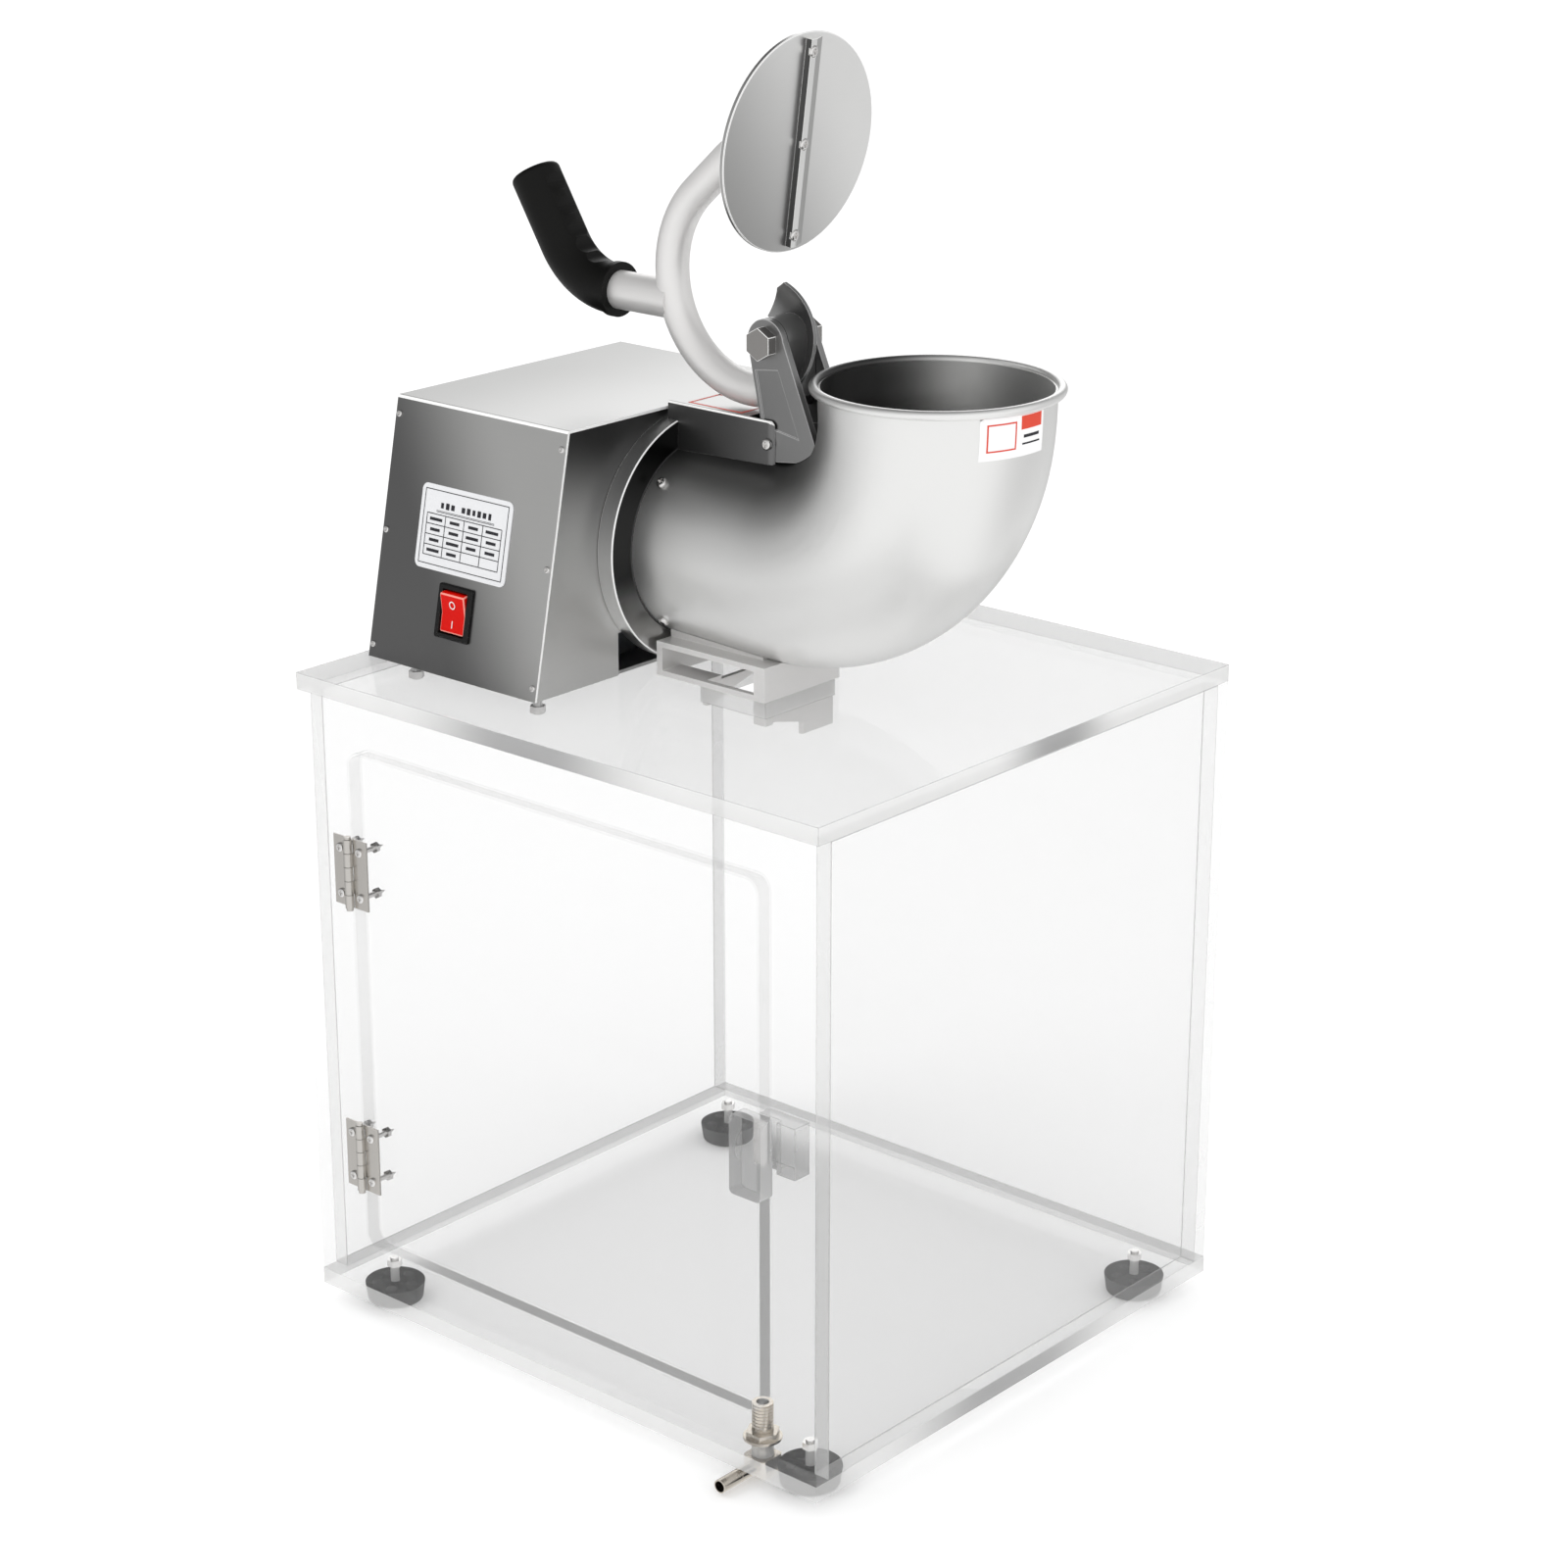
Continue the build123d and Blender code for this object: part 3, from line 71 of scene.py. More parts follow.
turn = math.radians(view["turn"])
rise = math.radians(view["rise"])
back = Vector((math.sin(turn) * math.cos(rise), -math.cos(turn) * math.cos(rise), math.sin(rise)))
bpy.ops.object.camera_add(location=Vector(view["target"]) + back * view["away"])
cameraObject = bpy.context.object
cameraObject.name = "studioCamera"
cameraObject.rotation_mode = "QUATERNION"
cameraObject.rotation_quaternion = (-back).to_track_quat("-Z", "Y")
cameraObject.data.lens = view["lens"]
cameraObject.data.sensor_width = 36.0
cameraObject.data.clip_start = 0.05
cameraObject.data.clip_end = 60.0
scene.camera = cameraObject
scene.view_settings.view_transform = "Standard"


def addNode(tree, kind, settings=None, inputs=None):
    # one shader node with its settings and socket values
    node = tree.nodes.new(kind)
    for key, value in (settings or {}).items():
        setattr(node, key, value)
    for key, value in (inputs or {}).items():
        node.inputs[key].default_value = value
    return node


def maths(tree, operation, first, second=None, third=None, clamp=False):
    # a maths node; each operand is a socket or a number
    node = tree.nodes.new("ShaderNodeMath")
    node.operation = operation
    node.use_clamp = clamp
    for index, value in enumerate((first, second, third)):
        if value is None:
            continue
        if isinstance(value, (int, float)):
            node.inputs[index].default_value = value
        else:
            tree.links.new(value, node.inputs[index])
    return node.outputs[0]


def mixColour(tree, factor, first, second):
    # a colour mix; each operand is a socket, a number or an rgb triple
    node = tree.nodes.new("ShaderNodeMix")
    node.data_type = "RGBA"
    sockets = {"factor": node.inputs["Factor"], "first": node.inputs[6], "second": node.inputs[7]}
    for key, value in (("factor", factor), ("first", first), ("second", second)):
        if isinstance(value, (int, float)):
            sockets[key].default_value = value
        elif isinstance(value, (tuple, list)):
            sockets[key].default_value = (*value[:3], 1.0)
        else:
            tree.links.new(value, sockets[key])
    return node.outputs[2]


# a light tent that only reflections see: bright all round, with dark flags that give the metal its
# shading; everything else is lit by plain white
tent = {
    "level": 1.0,
    "flags": [
        # direction, how dark, inner and outer half angle in degrees
        {"aim": (-0.62, 0.25, 0.75), "dark": 0.97, "inner": 0, "outer": 108},
        {"aim": (0.62, 0.71, -0.33), "dark": 0.36, "inner": 5, "outer": 40},
    ],
    "lamps": [
        {"aim": (-0.60, 0.73, 0.34), "bright": 1.5, "inner": 6, "outer": 26},
    ],
}

world = bpy.data.worlds.new("lightTent")
scene.world = world
world.use_nodes = True
tree = world.node_tree
tree.nodes.clear()
direction = addNode(tree, "ShaderNodeTexCoord").outputs["Generated"]
level = None
for card in tent["flags"] + tent["lamps"]:
    aimed = addNode(tree, "ShaderNodeVectorMath", {"operation": "DOT_PRODUCT"})
    aimed.inputs[1].default_value = Vector(card["aim"]).normalized()
    tree.links.new(direction, aimed.inputs[0])
    fade = addNode(tree, "ShaderNodeMapRange", {"interpolation_type": "LINEAR"})
    fade.inputs["From Min"].default_value = math.cos(math.radians(card["outer"]))
    fade.inputs["From Max"].default_value = math.cos(math.radians(card["inner"]))
    tree.links.new(aimed.outputs["Value"], fade.inputs["Value"])
    if level is None:
        level = tent["level"]
    if "dark" in card:
        amount = maths(tree, "MULTIPLY_ADD", fade.outputs["Result"], -card["dark"], 1.0)
        level = maths(tree, "MULTIPLY", amount, level)
    else:
        amount = maths(tree, "MULTIPLY", fade.outputs["Result"], card["bright"])
        level = maths(tree, "ADD", amount, level)
background = addNode(tree, "ShaderNodeBackground", None, {"Color": (1, 1, 1, 1)})
tree.links.new(level, background.inputs["Strength"])
plainWhite = addNode(tree, "ShaderNodeBackground", None, {"Color": (1, 1, 1, 1), "Strength": 1.0})
lightPath = addNode(tree, "ShaderNodeLightPath")
split = addNode(tree, "ShaderNodeMixShader")
tree.links.new(lightPath.outputs["Is Glossy Ray"], split.inputs[0])
tree.links.new(plainWhite.outputs[0], split.inputs[1])
tree.links.new(background.outputs[0], split.inputs[2])
worldOut = addNode(tree, "ShaderNodeOutputWorld")
tree.links.new(split.outputs[0], worldOut.inputs["Surface"])

floor = {"half": 14.0, "drop": 0.0004, "colour": (0.93, 0.93, 0.93, 1), "roughness": 0.9, "glow": 0.17}
bpy.ops.object.select_all(action="DESELECT")
bpy.ops.mesh.primitive_plane_add(size=2 * floor["half"], location=(0, 0, -floor["drop"]))
floorPlane = bpy.context.object
floorPlane.name = "studioFloor"
floorMaterial = bpy.data.materials.new("studioFloor")
floorMaterial.use_nodes = True
floorShader = floorMaterial.node_tree.nodes["Principled BSDF"]
floorShader.inputs["Base Color"].default_value = floor["colour"]
floorShader.inputs["Roughness"].default_value = floor["roughness"]
floorShader.inputs["Specular IOR Level"].default_value = 0.0
floorShader.inputs["Emission Color"].default_value = (1, 1, 1, 1)
floorShader.inputs["Emission Strength"].default_value = floor["glow"]
floorPlane.data.materials.append(floorMaterial)
floorPlane.visible_glossy = False

lampAim = Vector((0, 0, 0.4))
lamps = [
    {"name": "keyLamp", "place": (-1.3, -1.9, 2.4), "size": 1.4, "power": 9.0},
    {"name": "fillLamp", "place": (2.2, -0.8, 1.7), "size": 1.8, "power": 5.0},
]
for lamp in lamps:
    bpy.ops.object.light_add(type="AREA", location=lamp["place"])
    lampObject = bpy.context.object
    lampObject.name = lamp["name"]
    lampObject.data.size = lamp["size"]
    lampObject.data.energy = lamp["power"]
    lampObject.visible_glossy = False
    towards = lampAim - Vector(lamp["place"])
    lampObject.rotation_mode = "QUATERNION"
    lampObject.rotation_quaternion = towards.to_track_quat("-Z", "Y")
print("camera, tent and lamps are set")


# shared effects
def newGroup(name, inputs, outputs):
    # an empty node group with named sockets
    group = bpy.data.node_groups.new(name, "ShaderNodeTree")
    for socketName, kind, value in inputs:
        socket = group.interface.new_socket(name=socketName, in_out="INPUT", socket_type=kind)
        if value is not None:
            socket.default_value = value
    for socketName, kind in outputs:
        group.interface.new_socket(name=socketName, in_out="OUTPUT", socket_type=kind)
    start = group.nodes.new("NodeGroupInput")
    end = group.nodes.new("NodeGroupOutput")
    return group, start.outputs, end.inputs


grainLook = {"lineDetail": 4.0, "lineRoughness": 0.65, "driftScale": 9.0,
             "toneShare": 2.0, "roughShare": 1.2}


def buildGrainAndPaintedShade():
    # fine brushed lines with slow drift, and a painted shade: a tone that fades along a direction or out
    # from a hub
    group, given, result = newGroup(
        "brushedGrainAndPaintedShade",
        [
            ("Tone", "NodeSocketColor", (0.6, 0.6, 0.6, 1)),
            ("Far Tone", "NodeSocketColor", (0.6, 0.6, 0.6, 1)),
            ("Fade Direction", "NodeSocketVector", (1, 0, 0)),
            ("Fade Hub", "NodeSocketVector", (0, 0, 0)),
            ("Hub Share", "NodeSocketFloat", 0.0),
            ("Fade Start", "NodeSocketFloat", 0.0),
            ("Fade End", "NodeSocketFloat", 1.0),
            ("Stretch", "NodeSocketVector", (40, 1600, 1600)),
            ("Line Strength", "NodeSocketFloat", 0.04),
            ("Drift", "NodeSocketFloat", 0.04),
            ("Roughness", "NodeSocketFloat", 0.3),
        ],
        [("Tone", "NodeSocketColor"), ("Roughness", "NodeSocketFloat"), ("Height", "NodeSocketFloat")],
    )
    place = addNode(group, "ShaderNodeTexCoord").outputs["Object"]
    along = addNode(group, "ShaderNodeVectorMath", {"operation": "DOT_PRODUCT"})
    group.links.new(place, along.inputs[0])
    group.links.new(given["Fade Direction"], along.inputs[1])
    fromHub = addNode(group, "ShaderNodeVectorMath", {"operation": "SUBTRACT"})
    group.links.new(place, fromHub.inputs[0])
    group.links.new(given["Fade Hub"], fromHub.inputs[1])
    ahead = addNode(group, "ShaderNodeVectorMath", {"operation": "MAXIMUM"})
    ahead.inputs[1].default_value = (0, -9, -9)  # behind the hub in x counts as level with it
    group.links.new(fromHub.outputs[0], ahead.inputs[0])
    level = addNode(group, "ShaderNodeVectorMath", {"operation": "MULTIPLY"})
    level.inputs[1].default_value = (1, 0, 1)  # across y the hub is a line
    group.links.new(ahead.outputs[0], level.inputs[0])
    reach = addNode(group, "ShaderNodeVectorMath", {"operation": "LENGTH"})
    group.links.new(level.outputs[0], reach.inputs[0])
    byHub = maths(group, "SUBTRACT", reach.outputs["Value"], along.outputs["Value"])
    measure = maths(group, "MULTIPLY_ADD", byHub, given["Hub Share"], along.outputs["Value"])
    # the painted shade: how far a point lies along the direction, or out from the hub, sets its tone
    # between the two tones
    fade = addNode(group, "ShaderNodeMapRange", {"interpolation_type": "SMOOTHSTEP"})
    group.links.new(measure, fade.inputs["Value"])
    group.links.new(given["Fade Start"], fade.inputs["From Min"])
    group.links.new(given["Fade End"], fade.inputs["From Max"])
    paintedShadeTone = mixColour(group, fade.outputs["Result"], given["Tone"], given["Far Tone"])
    scaled = addNode(group, "ShaderNodeVectorMath", {"operation": "MULTIPLY"})
    group.links.new(place, scaled.inputs[0])
    group.links.new(given["Stretch"], scaled.inputs[1])
    lines = addNode(group, "ShaderNodeTexNoise", None, {
        "Scale": 1.0, "Detail": grainLook["lineDetail"], "Roughness": grainLook["lineRoughness"]})
    group.links.new(scaled.outputs[0], lines.inputs["Vector"])
    slow = addNode(group, "ShaderNodeTexNoise", None, {
        "Scale": grainLook["driftScale"], "Detail": 3.0, "Roughness": 0.5})
    group.links.new(place, slow.inputs["Vector"])
    lineSigned = maths(group, "SUBTRACT", lines.outputs["Fac"], 0.5)
    slowSigned = maths(group, "SUBTRACT", slow.outputs["Fac"], 0.5)
    lineAmount = maths(group, "MULTIPLY", lineSigned, given["Line Strength"])
    slowAmount = maths(group, "MULTIPLY", slowSigned, given["Drift"])
    total = maths(group, "ADD", lineAmount, slowAmount)
    shade = maths(group, "MULTIPLY_ADD", total, grainLook["toneShare"], 1.0)
    tone = addNode(group, "ShaderNodeVectorMath", {"operation": "SCALE"})
    group.links.new(paintedShadeTone, tone.inputs[0])
    group.links.new(shade, tone.inputs["Scale"])
    group.links.new(tone.outputs[0], result["Tone"])
    rough = maths(group, "MULTIPLY_ADD", total, grainLook["roughShare"], given["Roughness"], clamp=True)
    group.links.new(rough, result["Roughness"])
    group.links.new(lines.outputs["Fac"], result["Height"])
    return group


skinLook = {"patchScale": 26.0, "wornFrom": 0.52, "wornTo": 0.78, "roughShare": 0.25}


def buildSkin():
    # moulded skin: fine grain with a little wear in the tone
    group, given, result = newGroup(
        "mouldedSkin",
        [
            ("Tone", "NodeSocketColor", (0.1, 0.1, 0.1, 1)),
            ("Worn Tone", "NodeSocketColor", (0.2, 0.2, 0.2, 1)),
            ("Grain Scale", "NodeSocketFloat", 900.0),
            ("Wear", "NodeSocketFloat", 0.3),
            ("Roughness", "NodeSocketFloat", 0.6),
        ],
        [("Tone", "NodeSocketColor"), ("Roughness", "NodeSocketFloat"), ("Height", "NodeSocketFloat")],
    )
    place = addNode(group, "ShaderNodeTexCoord").outputs["Object"]
    fine = addNode(group, "ShaderNodeTexNoise", None, {"Detail": 3.0, "Roughness": 0.6})
    group.links.new(place, fine.inputs["Vector"])
    group.links.new(given["Grain Scale"], fine.inputs["Scale"])
    patches = addNode(group, "ShaderNodeTexNoise", None, {
        "Scale": skinLook["patchScale"], "Detail": 5.0, "Roughness": 0.6})
    group.links.new(place, patches.inputs["Vector"])
    worn = addNode(group, "ShaderNodeMapRange", None, {
        "From Min": skinLook["wornFrom"], "From Max": skinLook["wornTo"]})
    group.links.new(patches.outputs["Fac"], worn.inputs["Value"])
    amount = maths(group, "MULTIPLY", worn.outputs["Result"], given["Wear"])
    group.links.new(mixColour(group, amount, given["Tone"], given["Worn Tone"]), result["Tone"])
    signed = maths(group, "SUBTRACT", fine.outputs["Fac"], 0.5)
    rough = maths(group, "MULTIPLY_ADD", signed, skinLook["roughShare"], given["Roughness"], clamp=True)
    group.links.new(rough, result["Roughness"])
    group.links.new(fine.outputs["Fac"], result["Height"])
    return group


grainAndShadeGroup = buildGrainAndPaintedShade()
skinGroup = buildSkin()


def startMaterial(name, showTone):
    # a material with its tree and its shader
    material = bpy.data.materials.new(name)
    material.use_nodes = True
    material.diffuse_color = (*showTone, 1.0)
    return material, material.node_tree, material.node_tree.nodes["Principled BSDF"]


def addBump(tree, shader, height, strength, depth):
    # fine relief from a height, with its depth in metres
    bump = addNode(tree, "ShaderNodeBump", None, {"Strength": strength, "Distance": depth})
    tree.links.new(height, bump.inputs["Height"])
    tree.links.new(bump.outputs["Normal"], shader.inputs["Normal"])


relief = {"metal": 0.0002, "moulded": 0.0003}


def metalMaterial(name, finish):
    # brushed, satin or polished metal from one finish dictionary, with the finish's painted shade where it
    # gives one
    material, tree, shader = startMaterial(name, finish["tone"])
    grain = addNode(tree, "ShaderNodeGroup", {"node_tree": grainAndShadeGroup})
    grain.inputs["Tone"].default_value = (*finish["tone"], 1)
    grain.inputs["Far Tone"].default_value = (*finish.get("farTone", finish["tone"]), 1)
    # the painted shade's direction or hub, with where its fade starts and ends
    if "fade" in finish:
        grain.inputs["Fade Direction"].default_value = finish["fade"][0]
        grain.inputs["Fade Start"].default_value = finish["fade"][1]
        grain.inputs["Fade End"].default_value = finish["fade"][2]
    if "hub" in finish:
        grain.inputs["Fade Hub"].default_value = finish["hub"][0]
        grain.inputs["Hub Share"].default_value = 1.0
        grain.inputs["Fade Start"].default_value = finish["hub"][1]
        grain.inputs["Fade End"].default_value = finish["hub"][2]
    grain.inputs["Stretch"].default_value = finish.get("stretch", (60, 1500, 1500))
    grain.inputs["Line Strength"].default_value = finish.get("lines", 0.03)
    grain.inputs["Drift"].default_value = finish.get("drift", 0.05)
    grain.inputs["Roughness"].default_value = finish["roughness"]
    tree.links.new(grain.outputs["Tone"], shader.inputs["Base Color"])
    tree.links.new(grain.outputs["Roughness"], shader.inputs["Roughness"])
    shader.inputs["Metallic"].default_value = finish.get("metallic", 1.0)
    addBump(tree, shader, grain.outputs["Height"], finish.get("bump", 0.05), relief["metal"])
    return material


def mouldedMaterial(name, finish):
    # rubber, plastic, ink and film skins
    material, tree, shader = startMaterial(name, finish["tone"])
    skin = addNode(tree, "ShaderNodeGroup", {"node_tree": skinGroup})
    skin.inputs["Tone"].default_value = (*finish["tone"], 1)
    skin.inputs["Worn Tone"].default_value = (*finish["worn"], 1)
    skin.inputs["Wear"].default_value = finish.get("wear", 0.2)
    skin.inputs["Roughness"].default_value = finish["roughness"]
    tree.links.new(skin.outputs["Tone"], shader.inputs["Base Color"])
    tree.links.new(skin.outputs["Roughness"], shader.inputs["Roughness"])
    shader.inputs["Specular IOR Level"].default_value = finish.get("shine", 0.5)
    addBump(tree, shader, skin.outputs["Height"], finish.get("bump", 0.2), relief["moulded"])
    return material


metals = {
    # casing front and base: painted shade, dark towards the lower left and lighter towards the upper right
    "casingSteel": {"tone": (0.17, 0.17, 0.17), "farTone": (0.60, 0.60, 0.59), "roughness": 0.34,
                    "fade": ((0.85, 0, 0.50), 0.095, 0.182), "lines": 0.02},
    # top faces of the casing and saddle: a copy of the steel for how light falls on a top, painted light,
    # lighter towards the right
    "casingTopPaintedLight": {"tone": (0.30, 0.30, 0.295), "farTone": (0.48, 0.48, 0.475), "roughness": 0.30,
                       "fade": ((1, 0, 0), -0.190, -0.050), "lines": 0.02},
    # painted glint: a flat bright white for eased edges, rounded folds and sheet edges
    "paintedGlint": {"tone": (0.96, 0.96, 0.95), "metallic": 0.0, "roughness": 0.45,
                   "lines": 0.0, "bump": 0.0},
    # end walls: painted shade, lighter at the bottom and dark towards the top
    "wallSteel": {"tone": (0.70, 0.70, 0.69), "farTone": (0.115, 0.115, 0.115), "roughness": 0.34,
                  "fade": ((0, 0, 1), 0.395, 0.555), "stretch": (1500, 50, 1500), "lines": 0.02},
    # hopper: painted shade under the saddle, near black close to a hub line at the hopper's top and light
    # away from it
    "hopperSteel": {"tone": (0.055, 0.055, 0.055), "farTone": (0.88, 0.88, 0.87), "roughness": 0.36,
                    "metallic": 0.92, "hub": ((0.0323, -0.0085, 0.5664), 0.038, 0.079), "lines": 0.01,
                    "drift": 0.0, "bump": 0.0},
    # flange rim: painted shade, darker towards the top
    "flangeSteel": {"tone": (0.86, 0.86, 0.85), "farTone": (0.46, 0.46, 0.46), "roughness": 0.32,
                    "fade": ((0, 0, 1), 0.42, 0.52), "lines": 0.01},
    # front face of the flange: a shaded copy of the flange steel, painted shade near black towards the top
    "flangeFacePaintedShade": {"tone": (0.68, 0.68, 0.67), "farTone": (0.028, 0.028, 0.028), "roughness": 0.30,
                   "fade": ((0, 0, 1), 0.395, 0.458), "lines": 0.01},
    "saddleSteel": {"tone": (0.17, 0.17, 0.17), "roughness": 0.33, "lines": 0.02},
    "forkCast": {"tone": (0.30, 0.30, 0.30), "roughness": 0.38, "lines": 0.02, "drift": 0.08},
    # painted glint along the fork's eased edges and rounded folds
    "castPaintedGlint": {"tone": (0.40, 0.40, 0.40), "metallic": 0.0, "roughness": 0.45,
                 "lines": 0.02, "drift": 0.1},
    "boltSteel": {"tone": (0.34, 0.33, 0.32), "roughness": 0.22, "lines": 0.01, "drift": 0.05},
    "chuteAlloy": {"tone": (0.84, 0.83, 0.82), "metallic": 0.55, "roughness": 0.38, "lines": 0.02},
    "leverSilver": {"tone": (0.86, 0.85, 0.84), "metallic": 0.55, "roughness": 0.42,
                    "lines": 0.0, "drift": 0.01},
    # press plate: painted shade, darker towards the bottom and front, lighter towards the top and back
    "plateSteel": {"tone": (0.46, 0.46, 0.455), "farTone": (0.98, 0.98, 0.97), "roughness": 0.34,
                   "fade": ((0, 0.8, 0.6), 0.345, 0.455), "stretch": (1500, 60, 1500), "lines": 0.015},
    # rib: copies of one steel for how light falls on each face: painted light on the ridge, painted shade
    # on the slope and on the front side
    "ribPaintedLight": {"tone": (0.92, 0.92, 0.91), "roughness": 0.30, "stretch": (1500, 1500, 60)},
    "ribSlopePaintedShade": {"tone": (0.44, 0.44, 0.435), "roughness": 0.30, "stretch": (1500, 1500, 60)},
    "ribShade": {"tone": (0.09, 0.09, 0.09), "roughness": 0.35, "stretch": (1500, 1500, 60)},
    "brightSteel": {"tone": (0.78, 0.77, 0.76), "roughness": 0.16, "lines": 0.01, "drift": 0.03},
    "hingeSteel": {"tone": (0.58, 0.56, 0.53), "roughness": 0.24, "stretch": (1500, 1500, 60)},
    "drainMetal": {"tone": (0.66, 0.61, 0.54), "roughness": 0.20, "lines": 0.02},
    "bladeSteel": {"tone": (0.62, 0.62, 0.62), "roughness": 0.22, "lines": 0.04},
    "motorSteel": {"tone": (0.22, 0.23, 0.25), "roughness": 0.45, "lines": 0.03, "drift": 0.1},
    "bellAlloy": {"tone": (0.52, 0.52, 0.52), "roughness": 0.45, "lines": 0.02, "drift": 0.1},
}
moulded = {
    "gripRubber": {"tone": (0.0035, 0.0035, 0.003), "worn": (0.008, 0.008, 0.007), "roughness": 0.40,
                   "bump": 0.25, "shine": 0.18},
    "footRubber": {"tone": (0.012, 0.012, 0.012), "worn": (0.03, 0.03, 0.03), "roughness": 0.55,
                   "shine": 0.2},
    "switchBlack": {"tone": (0.008, 0.008, 0.008), "worn": (0.018, 0.018, 0.018), "roughness": 0.3,
                    "bump": 0.1, "shine": 0.2},
    "switchRed": {"tone": (0.66, 0.003, 0.0), "worn": (0.70, 0.01, 0.004), "roughness": 0.22,
                  "bump": 0.02, "shine": 0.12},
    # painted glint on the rocker's eased edges
    "switchPaintedGlint": {"tone": (0.95, 0.32, 0.26), "worn": (0.98, 0.5, 0.45), "roughness": 0.2, "bump": 0.0},
    "innerPlastic": {"tone": (0.03, 0.03, 0.03), "worn": (0.06, 0.06, 0.06), "roughness": 0.5},
    "plateWhite": {"tone": (0.76, 0.765, 0.78), "worn": (0.71, 0.71, 0.72), "roughness": 0.35, "bump": 0.02,
                   "shine": 0.25},
    "printInk": {"tone": (0.025, 0.025, 0.03), "worn": (0.06, 0.06, 0.06), "roughness": 0.5, "bump": 0.0,
                 "shine": 0.2},
    "paperWhite": {"tone": (0.92, 0.92, 0.92), "worn": (0.86, 0.86, 0.85), "roughness": 0.4, "bump": 0.02},
    "signalRed": {"tone": (0.70, 0.065, 0.035), "worn": (0.75, 0.12, 0.07), "roughness": 0.4, "bump": 0.02,
                  "shine": 0.2},
}
made = {}
for name, finish in metals.items():
    made[name] = metalMaterial(name, finish)
for name, finish in moulded.items():
    made[name] = mouldedMaterial(name, finish)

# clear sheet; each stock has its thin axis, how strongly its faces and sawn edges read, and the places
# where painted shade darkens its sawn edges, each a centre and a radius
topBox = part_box("top_panel")
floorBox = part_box("floor_panel")
middle = (topBox[0] + topBox[1]) / 2
clearSheet = {
    "face": (0.52, 0.52, 0.52), "edge": (0.74, 0.74, 0.735), "spotShade": (0.30, 0.30, 0.30),
    "gloss": 0.35, "falloff": 3.0,  # how far the faces veil over when seen edge on
    "flat": 0.98, "turned": 0.75,  # how square to the sheet a face and an edge stand
    "drift": 7.0, "driftShare": 0.20, "spotCore": 0.15, "spotShare": 0.25,
    "roughness": 0.04, "edgeRough": 0.25, "ior": 1.49,
}
stocks = {
    "acrylicX": {"across": (1, 0, 0), "faceVeil": 0.07, "edgeVeil": 0.46},
    "acrylicY": {"across": (0, 1, 0), "faceVeil": 0.07, "edgeVeil": 0.32},
    "acrylicDoor": {"across": (0, 1, 0), "faceVeil": 0.03, "edgeVeil": 0.15},
    "acrylicTop": {"across": (0, 0, 1), "faceVeil": 0.11, "edgeVeil": 0.62, "shadeSpots": [
        ((middle.x - 0.012, topBox[0].y, topBox[1].z), 0.105),
        ((topBox[1].x, middle.y + 0.02, topBox[1].z), 0.060),
    ]},
    "acrylicFloor": {"across": (0, 0, 1), "faceVeil": 0.015, "edgeVeil": 0.55, "shadeSpots": [
        ((floorBox[1].x, middle.y - 0.010, floorBox[0].z), 0.130),
    ]},
}


def acrylicMaterial(name, stock):
    # faces almost vanish, sawn edges read pale grey and darken with painted shade in places
    material, tree, shader = startMaterial(name, clearSheet["face"])
    place = addNode(tree, "ShaderNodeTexCoord").outputs
    facing = addNode(tree, "ShaderNodeVectorMath", {"operation": "DOT_PRODUCT"})
    facing.inputs[1].default_value = stock["across"]
    tree.links.new(place["Normal"], facing.inputs[0])
    flat = maths(tree, "ABSOLUTE", facing.outputs["Value"])
    edge = addNode(tree, "ShaderNodeMapRange", None,
                   {"From Min": clearSheet["flat"], "From Max": clearSheet["turned"]})
    tree.links.new(flat, edge.inputs["Value"])
    drift = addNode(tree, "ShaderNodeTexNoise", None, {"Scale": clearSheet["drift"], "Detail": 3.0})
    tree.links.new(place["Object"], drift.inputs["Vector"])
    signed = maths(tree, "SUBTRACT", drift.outputs["Fac"], 0.5)
    spotShaded = 0.0
    # the painted shade spots on the sawn edges
    for centre, radius in stock.get("shadeSpots", []):
        away = addNode(tree, "ShaderNodeVectorMath", {"operation": "DISTANCE"})
        away.inputs[1].default_value = centre
        tree.links.new(place["Object"], away.inputs[0])
        near = addNode(tree, "ShaderNodeMapRange", {"interpolation_type": "SMOOTHSTEP"},
                       {"From Min": radius, "From Max": radius * clearSheet["spotCore"]})
        tree.links.new(away.outputs["Value"], near.inputs["Value"])
        spotShaded = maths(tree, "MAXIMUM", near.outputs["Result"], spotShaded)
    grazing = addNode(tree, "ShaderNodeLayerWeight", None, {"Blend": 0.5})
    mirrorShare = maths(tree, "POWER", grazing.outputs["Facing"], clearSheet["falloff"])
    veil = maths(tree, "MULTIPLY_ADD", mirrorShare, clearSheet["gloss"], stock["faceVeil"])
    sawn = maths(tree, "MULTIPLY_ADD", signed, clearSheet["driftShare"], stock["edgeVeil"])
    sawn = maths(tree, "MULTIPLY_ADD", spotShaded, clearSheet["spotShare"], sawn)
    edgeVeil = maths(tree, "MULTIPLY", edge.outputs["Result"], sawn)
    alpha = maths(tree, "MAXIMUM", veil, edgeVeil, clamp=True)
    tree.links.new(alpha, shader.inputs["Alpha"])
    edgeTone = mixColour(tree, spotShaded, clearSheet["edge"], clearSheet["spotShade"])
    tree.links.new(mixColour(tree, edge.outputs["Result"], clearSheet["face"], edgeTone),
                   shader.inputs["Base Color"])
    rough = maths(tree, "MULTIPLY_ADD", edge.outputs["Result"], clearSheet["edgeRough"],
                  clearSheet["roughness"])
    tree.links.new(rough, shader.inputs["Roughness"])
    shader.inputs["IOR"].default_value = clearSheet["ior"]
    return material


